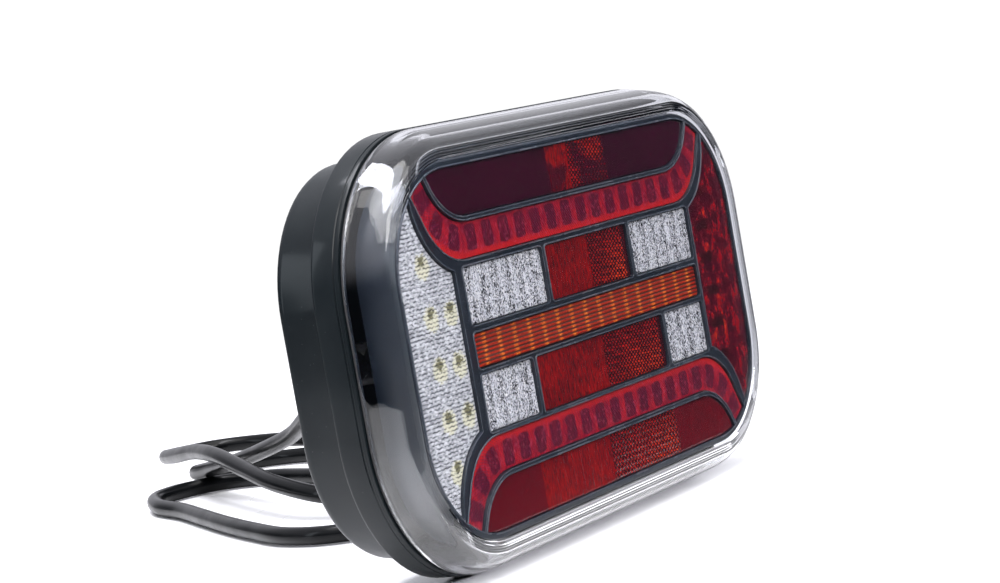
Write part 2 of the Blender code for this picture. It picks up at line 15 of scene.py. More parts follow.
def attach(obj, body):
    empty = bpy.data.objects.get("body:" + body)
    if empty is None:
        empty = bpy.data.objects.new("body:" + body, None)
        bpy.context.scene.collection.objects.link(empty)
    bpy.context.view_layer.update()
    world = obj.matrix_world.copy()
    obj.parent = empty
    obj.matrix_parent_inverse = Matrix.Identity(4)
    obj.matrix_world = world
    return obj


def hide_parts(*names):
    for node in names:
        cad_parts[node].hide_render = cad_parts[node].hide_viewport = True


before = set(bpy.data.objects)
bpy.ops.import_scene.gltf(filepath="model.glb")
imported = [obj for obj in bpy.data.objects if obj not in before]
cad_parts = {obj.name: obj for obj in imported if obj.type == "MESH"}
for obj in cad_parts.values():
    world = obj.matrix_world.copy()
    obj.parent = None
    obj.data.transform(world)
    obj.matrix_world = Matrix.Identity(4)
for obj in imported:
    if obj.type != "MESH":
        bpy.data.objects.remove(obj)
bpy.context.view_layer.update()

MM = 0.001
GAP = 0.3
BODY = "root"

# Rim, depths behind the front of the cover, and the mask
RIM_W, RIM_H, RIM_R = 119.0, 69.0, 50.0
MASK_W, MASK_H, MASK_R = 111.0, 57.6, 35.5
MASK_FRONT, MASK_BACK, MASK_FOOT = 3.0, 5.0, 15.4
WINDOW_FRONT, WINDOW_BACK = 3.75, 5.8
RIM_BACK, REAR_FACE = 27.0, 45.0
WALL = 2.5
MID_DEPTH = 32.5
FLOOR_HEIGHT = -0.0002

# Camera: where it stands, its axes and its lens, in metres and millimetres
EYE = (-0.805, -0.4831, 0.1432)
LOOK, LOOK_RIGHT = (0.856, 0.513, -0.071), (0.496, -0.851, -0.173)
LENS, SENSOR, LENS_SHIFT = 103.0, 36.0, (-0.009, 0.008)

# Studio: the side of the white backdrop, the floor's two parts and where the floor fades out
BACKDROP_SIDE = (0.857, 0.514, 0.05)
FLOOR_NEAR, FLOOR_FAR = (-0.6, -0.065, 0.3, 0.6), (-3.0, -3.0, 3.0, 3.0)
FLOOR_FADE = (450.0, 1300.0)
LAMP_MIDDLE = (0.0, 0.0, 0.07)

# Fastenings and openings in the rear
STUD_X, STUD_R = 76.0, 3.0
SCREW_X, SCREW_Z = 62.0, 48.0
BOSS_R, BOSS_TOP, PILOT_R, PILOT_END = 3.5, 17.6, 1.3, 29.0
ENTRY_R, VENT_R = 7.3, 2.8
STUD_END = 65.0
ENTRY_Z = 60.0
VENT_AT = (-40.0, -34.0)

# Window openings, from the middle of the lamp
BAND_LOW, BAND_HIGH = 27.4, 38.1
BAND_LOW_BEND_X, BAND_HIGH_BEND_X, BAND_BEND = 70.0, 66.0, 23.0
STRIP_LOW, STRIP_BEND = 40.3, 20.7
SIDE_WINDOW_X, SIDE_WINDOW_BEND = 79.3, 27.8
ROW_LEFT, ROW_RIGHT, ROW_WEB = -74.0, 76.6, 2.8
UPPER_ROW, AMBER_ROW, LOWER_ROW = (7.3, 24.7), (-6.0, 4.5), (-25.5, -8.3)
UPPER_RED_X, LOWER_RED_X = (-23.2, 31.2), (-40.0, 45.7)
MASK_EDGE, LIP_RISE = 2.3, 0.22
DIODE_PITCH = 10.0
AMBER_DIODES = 16
SIDE_DIODE_X, SIDE_PITCH = 88.0, 11.5
DIODE_TOP = 9.9
REVERSING_DIODES = (
    (-95.0, 30.0), (-94.95, 14.5), (-83.65, 14.5), (-94.95, -1.0), (-83.65, -1.0),
    (-94.95, -16.5), (-83.65, -16.5), (-95.0, -32.0),
)

CORNER_STEPS = 20
TURN_STEPS = 48

# Lead: its route in millimetres from the cable entry to the connector
CABLE_R = 3.25
CABLE_ROUTE = (
    (0, 19, 60), (0, 38, 60), (0, 58, 60), (10, 76, 56), (28, 98, 48), (49, 122, 39.5),
    (74, 149, 30), (100, 184, 21.5), (124, 216, 15), (145, 243, 10.5), (163, 265, 7),
    (186, 276, 4.2), (207, 262, 3.4), (208, 236, 3.4), (196, 205, 3.4), (175, 170, 3.4),
    (150, 134, 3.4), (119, 100, 3.4), (82, 74, 3.4), (45, 60, 3.4), (15, 65, 3.4),
    (2, 86, 3.4), (6, 110, 3.4), (22, 135, 3.4), (42, 162, 3.4), (63, 188, 3.4),
    (84, 214, 3.4), (102, 240, 3.4), (126, 257, 3.4), (150, 246, 3.4), (153, 219, 3.4),
    (143, 190, 3.4), (130, 158, 3.4), (116, 128, 3.4), (95, 104, 3.4), (69, 100, 4.5),
    (55, 122, 8.5), (65, 152, 13), (86, 182, 17), (110, 213, 20.5), (136, 243, 19.5),
    (160, 272, 15.5), (187, 297, 12), (214, 290, 10.5), (219, 262, 10), (209, 232, 10),
    (200, 206, 10), (194, 178, 8.6), (191.5, 160, 9.4), (190, 144, 10.3), (189, 132, 10.3),
    (188, 120, 10.3),
)
LEAD_POINTS = 420


def at(x, depth, z):
    """A point of the lamp: x from its middle, depth behind the cover's front, z from its middle."""
    return Vector((x * MM, (depth - MID_DEPTH) * MM, (z + RIM_H) * MM))


def show(name, data):
    piece = bpy.data.objects.new(name, data)
    bpy.context.scene.collection.objects.link(piece)
    return piece


def settled(piece, slot, *nodes):
    """The piece rides on the lamp and stands for its CAD nodes; its slot is not used."""
    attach(piece, BODY)
    if nodes:
        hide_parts(*nodes)
    return piece


# Camera, lights and floor ---------------------------------------------------------------

def camera():
    data = bpy.data.cameras.new("camera")
    data.sensor_width, data.lens = SENSOR, LENS
    data.shift_x, data.shift_y = LENS_SHIFT
    data.clip_start = 0.01
    eye = bpy.data.objects.new("camera", data)
    forward = Vector(LOOK).normalized()
    right = Vector(LOOK_RIGHT)
    right = (right - right.dot(forward) * forward).normalized()
    up = right.cross(forward)
    turn = Matrix((right, up, -forward)).transposed().to_4x4()
    eye.matrix_world = Matrix.Translation(EYE) @ turn
    bpy.context.scene.collection.objects.link(eye)
    bpy.context.scene.camera = eye


def softbox(name, place, target, size, power, colour):
    data = bpy.data.lights.new(name, "AREA")
    data.shape = "RECTANGLE"
    data.size, data.size_y = size
    data.energy = power
    data.color = colour
    lamp = bpy.data.objects.new(name, data)
    lamp.location = place
    aim = Vector(target) - Vector(place)
    lamp.rotation_euler = aim.to_track_quat("-Z", "Y").to_euler()
    bpy.context.scene.collection.objects.link(lamp)


def studio():
    world = bpy.data.worlds.new("studio")
    bpy.context.scene.world = world
    world.use_nodes = True
    graph = Graph(world.node_tree)
    background = world.node_tree.nodes["Background"]
    toward = graph.node("ShaderNodeTexCoord").outputs["Generated"]
    facing = graph.node("ShaderNodeVectorMath", {0: toward}, operation="DOT_PRODUCT")
    facing.inputs[1].default_value = BACKDROP_SIDE
    wall = graph.fade(facing.outputs["Value"], 0.72, 0.88)
    above = graph.times(graph.fade(graph.parts(toward)[2], 0.16, 0.5), 0.8)
    wall = graph.math("MAXIMUM", wall, above)
    seen = graph.blend(wall, (0.022, 0.025, 0.034), (0.98, 0.98, 1.06))
    graph.feed(background.inputs["Color"], seen)
    white = graph.node("ShaderNodeBackground", {"Color": (1, 1, 1, 1), "Strength": 1.05})
    path = graph.node("ShaderNodeLightPath")
    graph.surface(path.outputs["Is Camera Ray"], background, white, "World Output")

    data = bpy.data.lights.new("overhead", "SUN")
    data.energy = 3.0
    data.angle = math.radians(70)
    data.color = (1.0, 0.985, 0.97)
    sun = bpy.data.objects.new("overhead", data)
    sun.rotation_euler = Vector((0.25, 0.15, -1.0)).to_track_quat("-Z", "Y").to_euler()
    bpy.context.scene.collection.objects.link(sun)

    softbox("key", (-0.5, -1.5, 1.2), LAMP_MIDDLE, (1.0, 0.8), 20, (1.0, 0.98, 0.96))
    softbox("top_strip", (-0.15, 0.1, 0.9), LAMP_MIDDLE, (0.9, 0.25), 9, (0.93, 0.93, 1.0))
    lead_middle = (0.05, 0.15, 0.03)
    softbox("rear_strip", (-0.9, 1.1, 0.55), lead_middle, (0.25, 0.9), 2.5, (0.85, 0.93, 1.0))

    near, far = (
        [(box[i], box[j], FLOOR_HEIGHT) for i, j in ((0, 1), (2, 1), (2, 3), (0, 3))]
        for box in (FLOOR_NEAR, FLOOR_FAR)
    )
    around = [(i, i + 4, (i + 1) % 4 + 4, (i + 1) % 4) for i in range(4)]
    for name, corners, faces in (
        ("floor_near", near, [(0, 1, 2, 3)]), ("floor_far", near + far, around),
    ):
        data = bpy.data.meshes.new(name)
        data.from_pydata(corners, [], faces)
        data.materials.append(FLOOR)
        floor = show(name, data)
        floor.visible_glossy = "near" in name
        floor.visible_transmission = "near" in name


# Node building --------------------------------------------------------------------------

class Graph:
    """Adds nodes to one tree; a value is a socket or a plain number, vector or colour."""

    def __init__(self, tree):
        self.tree = tree

    def feed(self, socket, value):
        if isinstance(value, bpy.types.NodeSocket):
            self.tree.links.new(value, socket)
        else:
            socket.default_value = value

    def node(self, kind, inputs=None, **settings):
        made = self.tree.nodes.new(kind)
        for key, value in settings.items():
            setattr(made, key, value)
        for name, value in (inputs or {}).items():
            self.feed(made.inputs[name], value)
        return made

    def math(self, operation, *values):
        made = self.node("ShaderNodeMath", operation=operation)
        for socket, value in zip(made.inputs, values):
            self.feed(socket, value)
        return made.outputs[0]

    def times(self, first, second):
        return self.math("MULTIPLY", first, second)

    def minus(self, first, second):
        return self.math("SUBTRACT", first, second)

    def size(self, value):
        return self.math("ABSOLUTE", value)

    def scaled(self, vector, by):
        made = self.node("ShaderNodeVectorMath", {0: vector}, operation="MULTIPLY")
        made.inputs[1].default_value = by
        return made.outputs[0]

    def fade(self, value, low, high):
        """0 where value is at low, 1 at high, with a smooth step between."""
        made = self.node(
            "ShaderNodeMapRange", {"Value": value, "From Min": low, "From Max": high},
            interpolation_type="SMOOTHSTEP",
        )
        return made.outputs[0]

    def blend(self, share, first, second):
        made = self.node("ShaderNodeMix", data_type="RGBA", clamp_factor=True)
        self.feed(made.inputs[0], share)
        self.feed(made.inputs[6], (*first, 1) if isinstance(first, tuple) else first)
        self.feed(made.inputs[7], (*second, 1) if isinstance(second, tuple) else second)
        return made.outputs[2]

    def noise(self, vector, scale, detail=3.0, rough=0.55):
        return self.node(
            "ShaderNodeTexNoise",
            {"Vector": vector, "Scale": scale, "Detail": detail, "Roughness": rough},
        ).outputs[0]

    def from_middle(self, turn):
        """How far a count of turns is from the middle of its turn, up to 0.5."""
        return self.size(self.minus(self.math("FRACT", turn), 0.5))

    def within(self, value, span, soft_start, soft_end):
        """1 inside a span, with a soft step at each of its ends."""
        return self.times(
            self.fade(value, span[0] - soft_start, span[0] + soft_start),
            self.fade(value, span[1] + soft_end, span[1] - soft_end),
        )

    def length(self, vector):
        made = self.node("ShaderNodeVectorMath", {0: vector}, operation="LENGTH")
        return made.outputs["Value"]

    def parts(self, vector):
        return self.node("ShaderNodeSeparateXYZ", {0: vector}).outputs

    def surface(self, share, first, second, output):
        """Mixes two shaders by a share and sends them to the tree's output node."""
        either = self.node("ShaderNodeMixShader", {"Fac": share})
        self.feed(either.inputs[1], first.outputs[0])
        self.feed(either.inputs[2], second.outputs[0])
        self.feed(self.tree.nodes[output].inputs["Surface"], either.outputs[0])

    def group(self, tree, **values):
        made = self.node("ShaderNodeGroup", node_tree=tree)
        for name, value in values.items():
            self.feed(made.inputs[name], value)
        return made.outputs


def effect(name, inputs, outputs):
    """An empty shader group with named sockets; gives its graph, inputs and output node."""
    tree = bpy.data.node_groups.new(name, "ShaderNodeTree")
    for label, kind, value in inputs:
        socket = tree.interface.new_socket(label, in_out="INPUT", socket_type=kind)
        if value is not None:
            socket.default_value = value
    for label in outputs:
        tree.interface.new_socket(label, in_out="OUTPUT", socket_type="NodeSocketFloat")
    graph = Graph(tree)
    return graph, graph.node("NodeGroupInput").outputs, graph.node("NodeGroupOutput").inputs


FLOAT, VECTOR = "NodeSocketFloat", "NodeSocketVector"


def moulded_effect():
    """Fine moulded grain with slow mottling, in millimetres of place."""
    graph, given, out = effect(
        "moulded_grain",
        (("Place", VECTOR, None), ("Grain", FLOAT, 6.0), ("Mottle", FLOAT, 0.05)),
        ("Height", "Mottling"),
    )
    graph.feed(out["Height"], graph.noise(given["Place"], given["Grain"], 2.0))
    slow = graph.noise(given["Place"], given["Mottle"], 4.0, 0.6)
    graph.feed(out["Mottling"], graph.fade(slow, 0.35, 0.65))
    return graph.tree


def dust_effect():
    """Sparse specks of dust."""
    graph, given, out = effect(
        "dust_specks", (("Place", VECTOR, None), ("Amount", FLOAT, 0.2)), ("Specks",),
    )
    cells = graph.node(
        "ShaderNodeTexVoronoi", {"Vector": given["Place"], "Scale": 0.42}, feature="F1",
    )
    near = graph.fade(cells.outputs["Distance"], 0.09, 0.03)
    keep = graph.math("GREATER_THAN", graph.parts(cells.outputs["Color"])[0], 0.72)
    graph.feed(out["Specks"], graph.times(graph.times(near, keep), given["Amount"]))
    return graph.tree


def diode_row_effect():
    """Soft upright bars at an even pitch along a coordinate, with a little unevenness."""
    graph, given, out = effect(
        "diode_row",
        (("Along", FLOAT, 0.0), ("Place", VECTOR, None), ("Pitch", FLOAT, 10.0),
         ("Start", FLOAT, 0.0), ("Width", FLOAT, 2.0)),
        ("Bar", "Turn"),
    )
    shifted = graph.minus(given["Along"], given["Start"])
    turn = graph.math("DIVIDE", shifted, given["Pitch"])
    inside = graph.minus(graph.math("FRACT", turn), 0.5)
    wander = graph.minus(graph.noise(given["Place"], 0.5, 3.0), 0.5)
    away = graph.size(graph.math("ADD", inside, graph.times(wander, 0.16)))
    away = graph.times(away, given["Pitch"])
    edge = graph.times(given["Width"], 0.5)
    graph.feed(out["Bar"], graph.fade(away, edge, 0.0))
    graph.feed(out["Turn"], turn)
    return graph.tree


def mesh_dot_effect():
    """A staggered mesh of fine dots over two coordinates in millimetres."""
    graph, given, out = effect(
        "mesh_dots", (("U", FLOAT, 0.0), ("V", FLOAT, 0.0), ("Pitch", FLOAT, 1.0)), ("Dots",),
    )
    waves = []
    for name in ("U", "V"):
        turn = graph.math("DIVIDE", given[name], given["Pitch"])
        waves.append(graph.math("SINE", graph.times(turn, math.tau)))
    graph.feed(out["Dots"], graph.fade(graph.times(*waves), 0.0, 0.75))
    return graph.tree


def fleck_effect():
    """Cells of random brightness, scattered or set in even rows, as cut optics give."""
    graph, given, out = effect(
        "cut_flecks",
        (("Place", VECTOR, None), ("Scale", FLOAT, 1.4), ("Uneven", FLOAT, 1.0)),
        ("Fleck", "Second", "Near"),
    )
    cells = graph.node(
        "ShaderNodeTexVoronoi",
        {"Vector": given["Place"], "Scale": given["Scale"], "Randomness": given["Uneven"]},
        feature="F1", distance="MANHATTAN",
    )
    parts = graph.parts(cells.outputs["Color"])
    graph.feed(out["Near"], cells.outputs["Distance"])
    graph.feed(out["Fleck"], parts[0])
    graph.feed(out["Second"], parts[1])
    return graph.tree


MOULDED = moulded_effect()
DUST = dust_effect()
DIODE_ROW = diode_row_effect()
MESH_DOTS = mesh_dot_effect()
FLECKS = fleck_effect()


class Finish(Graph):
    """A material whose constant values sit on its own shader."""

    def __init__(self, name, **constants):
        self.material = bpy.data.materials.new(name)
        self.material.use_nodes = True
        super().__init__(self.material.node_tree)
        self.shader = self.tree.nodes["Principled BSDF"]
        for key, value in constants.items():
            label = key.replace("_", " ")
            self.shader.inputs[label].default_value = value
        place = self.node("ShaderNodeTexCoord").outputs["Object"]
        self.place = self.scaled(place, (1000, 1000, 1000))

    def streaks(self, stretch, detail=4.0, rough=0.7):
        """Noise at its own scale along each axis."""
        return self.noise(self.scaled(self.place, stretch), 1.0, detail, rough)

    def colour(self, value):
        self.feed(self.shader.inputs["Base Color"], value)

    def roughness(self, value, low, high):
        made = self.node(
            "ShaderNodeMapRange", {"Value": value, "To Min": low, "To Max": high}
        )
        self.feed(self.shader.inputs["Roughness"], made.outputs[0])

    def bump(self, height, strength, distance):
        made = self.node(
            "ShaderNodeBump", {"Height": height, "Strength": strength, "Distance": distance * MM}
        )
        self.feed(self.shader.inputs["Normal"], made.outputs[0])


def plastic(name, dark, light, rough, grain=5.0, strength=0.25, dust=0.15, **constants):
    """Moulded plastic or rubber: grain, mottled colour and a little dust."""
    made = Finish(name, **constants)
    surface = made.group(MOULDED, Place=made.place, Grain=grain, Mottle=0.06)
    specks = made.group(DUST, Place=made.place, Amount=dust)["Specks"]
    colour = made.blend(surface["Mottling"], dark, light)
    made.colour(made.blend(specks, colour, (0.35, 0.36, 0.38)))
    made.roughness(surface["Mottling"], *rough)
    made.bump(surface["Height"], strength, 0.12)
    return made.material


def metal(name, colour, tarnish, rough):
    made = Finish(name, Metallic=1.0)
    surface = made.group(MOULDED, Place=made.place, Grain=1.6, Mottle=0.25)
    made.colour(made.blend(surface["Mottling"], colour, tarnish))
    made.roughness(surface["Height"], *rough)
    made.bump(surface["Height"], 0.15, 0.05)
    return made.material


def floor_finish():
    made = Finish("studio_floor", Roughness=0.3)
    slow = made.noise(made.place, 0.002, 3.0)
    made.colour(made.blend(slow, (0.93, 0.935, 0.95), (0.95, 0.955, 0.965)))
    made.roughness(slow, 0.22, 0.34)
    clear = made.node("ShaderNodeBsdfTransparent")
    far = made.fade(made.length(made.place), *FLOOR_FADE)
    made.surface(far, made.shader, clear, "Material Output")
    return made.material


def cover_finish():
    """Clear plastic that lets lamps through to what is behind it."""
    made = Finish("clear_cover", IOR=1.5, Transmission_Weight=1.0)
    haze = made.noise(made.place, 0.08, 4.0)
    made.colour(made.blend(haze, (0.955, 0.96, 0.985), (0.9932, 0.9984, 1.0)))
    made.roughness(haze, 0.0, 0.02)
    made.bump(haze, 0.02, 0.05)
    path = made.node("ShaderNodeLightPath")
    clear = made.node("ShaderNodeBsdfTransparent", {"Color": (0.9, 0.9, 0.93, 1)})
    made.surface(path.outputs["Is Shadow Ray"], made.shader, clear, "Material Output")
    return made.material


def light_guide_finish():
    """Red guide over a row of diodes: crimson with a dot mesh, darker at each diode, with painted
    orange-red light along the edge nearest the lamp's middle.
    """
    made = Finish(
        "light_guide_red", Roughness=0.28, Specular_IOR_Level=0.3, Coat_Weight=0.25,
        Coat_Roughness=0.05,
    )
    track = made.node("ShaderNodeUVMap", uv_map="track").outputs[0]
    parts = made.parts(made.scaled(track, (100, 10.7, 0)))
    along, across = parts[0], parts[1]
    bars = made.group(
        DIODE_ROW, Along=along, Place=made.place, Pitch=DIODE_PITCH, Start=0.0, Width=8.6
    )
    inner = made.size(made.minus(across, 5.9))
    body = made.fade(inner, 4.6, 2.8)
    cell = made.fade(made.times(bars["Bar"], body), 0.08, 0.3)
    flame = made.streaks((0.55, 0.4, 0.16))
    red = made.blend(made.fade(flame, 0.35, 0.7), (0.22, 0.003, 0.020), (0.50, 0.010, 0.018))
    # Painted light: the guide turns brighter orange-red towards its edge nearest the lamp's middle.
    foot = made.fade(across, 3.2, 0.4)
    red = made.blend(made.times(foot, 0.65), red, (0.75, 0.016, 0.008))
    lit = made.blend(made.times(cell, 0.74), red, (0.030, 0.002, 0.016))
    dots = made.group(MESH_DOTS, U=along, V=across, Pitch=1.2)["Dots"]
    pink = made.group(FLECKS, Place=made.place, Scale=1.3)["Fleck"]
    lit = made.blend(made.times(dots, 0.72), lit, (0.020, 0.002, 0.022))
    spark = made.times(made.fade(pink, 0.80, 0.95), 0.22)
    made.colour(made.blend(spark, lit, (0.62, 0.09, 0.17)))
    made.bump(dots, 0.4, 0.15)
    return made.material


def amber_finish():
    """Amber bar: fine level flutes with their valleys painted dark, a painted shade, crossed by a
    painted highlight stripe at each diode.
    """
    made = Finish(
        "amber_optic", Roughness=0.3, Specular_IOR_Level=0.25, Coat_Weight=0.12,
        Coat_Roughness=0.08,
    )
    parts = made.parts(made.place)
    pitch = (ROW_RIGHT - ROW_LEFT - 3.0) / AMBER_DIODES
    bars = made.group(
        DIODE_ROW, Along=parts[0], Place=made.place, Pitch=pitch, Start=ROW_LEFT + 1.5, Width=4.0
    )
    turn = made.math("DIVIDE", made.minus(parts[2], RIM_H + AMBER_ROW[0]), FLUTE)
    crest = made.from_middle(turn)
    # Painted shade: the flute valleys are painted dark brown.
    painted_valley_shade = made.fade(crest, 0.16, 0.38)
    broken = made.streaks((0.9, 1, 2.4))
    base = made.blend(made.fade(broken, 0.3, 0.7), (0.17, 0.005, 0.002), (0.56, 0.028, 0.004))
    # Painted highlight: a bright orange stripe, with yellow glints, down each diode's place.
    painted_highlight_stripe = made.times(bars["Bar"], made.fade(broken, 0.28, 0.62))
    base = made.blend(painted_highlight_stripe, base, (1.0, 0.24, 0.014))
    spark = made.times(bars["Bar"], made.fade(broken, 0.54, 0.66))
    base = made.blend(spark, base, (1.0, 0.60, 0.12))
    made.colour(made.blend(made.times(painted_valley_shade, 0.92), base, (0.030, 0.005, 0.003)))
    return made.material


def cut_red_finish(name, plain, clear, grain_x, honey_x, low, high):
    """Red optic: smooth dark ends, fine upright grain, then honeycomb prisms painted bright orange
    towards their lower right, a painted light, and darker towards their top, a painted shade.
    """
    made = Finish(
        name, Roughness=0.26, Specular_IOR_Level=0.3, Coat_Weight=0.3, Coat_Roughness=0.04
    )
    parts = made.parts(made.place)
    x, z = parts[0], made.minus(parts[2], RIM_H)
    grain = made.streaks((2.2, 1.0, 0.28), 3.0, 0.7)
    lattice = made.node(
        "ShaderNodeMapping",
        {"Vector": made.scaled(made.place, (1, 0, 1.3)), "Rotation": (0, math.radians(38), 0)},
    ).outputs[0]
    flecks = made.group(FLECKS, Place=lattice, Scale=0.66, Uneven=0.08)
    in_grain = made.within(x, grain_x, 0.4, 0.6)
    in_honey = made.within(x, honey_x, 0.5, 0.4)
    slow = made.noise(made.place, 0.035, 3.0)
    smooth = made.blend(slow, plain, tuple(1.7 * c for c in plain))
    grained = made.blend(made.fade(grain, 0.35, 0.75), (0.09, 0.001, 0.003), (0.42, 0.006, 0.004))
    # Painted light and shade: the honeycomb turns bright orange towards its lower right and stays
    # dark towards its top.
    painted_light_lower_right = made.times(made.fade(z, high, low), made.fade(x, *honey_x))
    level = made.math("MULTIPLY_ADD", flecks["Fleck"], 0.5, 0.5)
    cut = made.times(made.fade(flecks["Near"], 0.66, 0.10), level)
    prism = made.blend(made.fade(cut, 0.0, 0.8), (0.035, 0.001, 0.003), (0.40, 0.006, 0.004))
    painted_light_lower_right = made.times(painted_light_lower_right, made.fade(cut, 0.15, 0.6))
    prism = made.blend(painted_light_lower_right, prism, (0.72, 0.050, 0.004))
    cloud = made.fade(made.noise(made.place, 0.09, 4.0, 0.6), 0.62, 0.40)
    veil = made.math("MULTIPLY_ADD", cloud, -clear, 1.0)
    colour = made.blend(made.times(in_grain, veil), smooth, grained)
    made.colour(made.blend(made.times(in_honey, veil), colour, prism))
    made.bump(grain, 0.15, 0.1)
    return made.material


def frosted_finish():
    """Cut clear optic: bright grey flecks between dark ones, in soft upright bands."""
    made = Finish("frosted_optic", Roughness=0.14, Coat_Weight=0.5, Coat_Roughness=0.05)
    parts = made.parts(made.place)
    flecks = made.group(FLECKS, Place=made.scaled(made.place, (1.25, 1, 0.85)), Scale=2.5)
    wave = made.math("SINE", made.times(parts[0], math.tau / FROST_FLUTE))
    band = made.math("MULTIPLY_ADD", wave, 0.5, 0.5)
    blur = made.streaks((0.5, 1, 0.12), 4.0, 0.65)
    level = made.math("ADD", made.times(band, 0.20), made.times(blur, 0.9))
    level = made.math("ADD", level, made.times(flecks["Fleck"], 0.80))
    tone = made.fade(level, 0.58, 1.30)
    colour = made.blend(tone, (0.016, 0.017, 0.022), (0.74, 0.76, 0.82))
    spark = made.fade(flecks["Second"], 0.86, 0.9)
    made.colour(made.blend(made.times(spark, 0.8), colour, (1.0, 1.0, 1.0)))
    made.bump(flecks["Fleck"], 0.5, 0.2)
    return made.material


def ribbed_finish():
    """Clear ribbed end window: grey-white with broken level ribs and painted shade between them,
    and at each diode a dark spot for its die over a painted pale-yellow reflection.
    """
    made = Finish("ribbed_optic", Roughness=0.18, Coat_Weight=0.5, Coat_Roughness=0.06)
    parts = made.parts(made.place)
    x, z = parts[0], made.minus(parts[2], RIM_H)
    broken = made.streaks((0.55, 0.2, 1.3))
    shift = made.times(made.math("SINE", made.times(x, math.tau / 2.4)), 0.10)
    turn = made.math("ADD", made.math("DIVIDE", z, RIB), shift)
    crest = made.from_middle(turn)
    # Painted shade: dark lines between the ribs.
    painted_groove_shade = made.times(made.fade(crest, 0.20, 0.42), made.fade(broken, 0.66, 0.42))
    colour = made.blend(made.fade(broken, 0.3, 0.7), (0.30, 0.31, 0.34), (0.86, 0.88, 0.92))
    # Each diode: a painted pale-yellow reflection a little below it, and a dark spot for its die.
    painted_reflection_patch, die = (2.0, 3.6, (0.86, 0.84, 0.60)), (0.4, 1.6, (0.11, 0.10, 0.03))
    for diode_x, diode_z in REVERSING_DIODES:
        for drop, size, tint in (painted_reflection_patch, die):
            away = made.node(
                "ShaderNodeCombineXYZ",
                {"X": made.minus(x, diode_x), "Z": made.minus(z, diode_z - drop)},
            ).outputs[0]
            ragged = made.math("MULTIPLY_ADD", broken, 5.0, made.length(away))
            near = made.fade(ragged, size + 3.4, size + 2.2)
            colour = made.blend(made.times(near, 0.85), colour, tint)
    made.colour(made.blend(made.times(painted_groove_shade, 0.85), colour, (0.05, 0.055, 0.065)))
    made.bump(crest, 0.35, 0.2)
    return made.material


def side_red_finish():
    """Deep red end window with dark diode cells and orange glints between them."""
    made = Finish("side_red_optic", Roughness=0.14, Coat_Weight=0.7, Coat_Roughness=0.04)
    parts = made.parts(made.place)
    bars = made.group(
        DIODE_ROW, Along=parts[2], Place=made.place, Pitch=SIDE_PITCH, Start=RIM_H, Width=7.0
    )
    inner = made.fade(made.size(made.minus(parts[0], SIDE_DIODE_X)), 7.5, 2.5)
    flame = made.streaks((0.22, 0.2, 0.14), 5.0, 0.75)
    red = made.blend(made.fade(flame, 0.42, 0.68), (0.042, 0.0006, 0.008), (0.30, 0.004, 0.010))
    glint = made.times(made.fade(flame, 0.60, 0.70), inner)
    red = made.blend(made.times(glint, 0.8), red, (0.95, 0.10, 0.012))
    cell = made.times(made.fade(bars["Bar"], 0.2, 0.8), inner)
    made.colour(made.blend(made.times(cell, 0.92), red, (0.016, 0.002, 0.004)))
    made.bump(flame, 0.12, 0.3)
    return made.material


def board_finish(name, mask, track, rough):
    """Solder mask with faint copper tracks under it."""
    made = Finish(name, Coat_Weight=0.4, Coat_Roughness=0.15)
    bricks = made.node(
        "ShaderNodeTexBrick",
        {"Vector": made.scaled(made.place, (0.12, 0.12, 0.12)), "Scale": 1.0,
         "Mortar Size": 0.06, "Color1": (0, 0, 0, 1), "Color2": (0.3, 0.3, 0.3, 1),
         "Mortar": (1, 1, 1, 1)},
    )
    lines = made.fade(bricks.outputs["Fac"], 0.2, 0.8)
    slow = made.noise(made.place, 0.1, 3.0)
    made.colour(made.blend(made.times(lines, 0.5), mask, track))
    made.roughness(slow, *rough)
    made.bump(lines, 0.3, 0.05)
    return made.material


def mask_finish():
    made = Finish("mask_satin_black", Coat_Weight=0.25, Coat_Roughness=0.22)
    surface = made.group(MOULDED, Place=made.place, Grain=7.0, Mottle=0.05)
    made.colour(made.blend(surface["Mottling"], (0.0065, 0.0105, 0.017), (0.010, 0.0155, 0.024)))
    made.roughness(surface["Mottling"], 0.34, 0.42)
    made.bump(surface["Height"], 0.15, 0.08)
    return made.material


FLUTE = (AMBER_ROW[1] - AMBER_ROW[0]) / 8
FROST_FLUTE = 7.6
RIB = 1.25
FLOOR = floor_finish()
HOUSING = plastic(
    "housing_moulded", (0.0030, 0.0052, 0.0068), (0.0048, 0.0075, 0.0092), (0.40, 0.50),
    5.0, 0.2, 0.1, Specular_IOR_Level=0.10, Coat_Weight=0.22, Coat_Roughness=0.12,
)
HARD_BLACK = plastic(
    "hard_black_plastic", (0.010, 0.011, 0.013), (0.016, 0.017, 0.019), (0.34, 0.46)
)
RUBBER = plastic(
    "black_rubber", (0.016, 0.016, 0.018), (0.026, 0.026, 0.028), (0.6, 0.75), 3.0, 0.4
)
SHEATH = plastic(
    "cable_sheath", (0.0015, 0.0018, 0.0022), (0.0030, 0.0034, 0.0040), (0.30, 0.38),
    1.5, 0.15, 0.03, Specular_IOR_Level=0.08, Coat_Weight=0.16, Coat_Roughness=0.06,
)
WHITE_PLASTIC = plastic("white_plastic", (0.74, 0.74, 0.72), (0.82, 0.82, 0.80), (0.35, 0.5))
POTTING = plastic(
    "potting_black", (0.015, 0.015, 0.016), (0.03, 0.03, 0.032), (0.25, 0.5), 0.5, 0.4
)
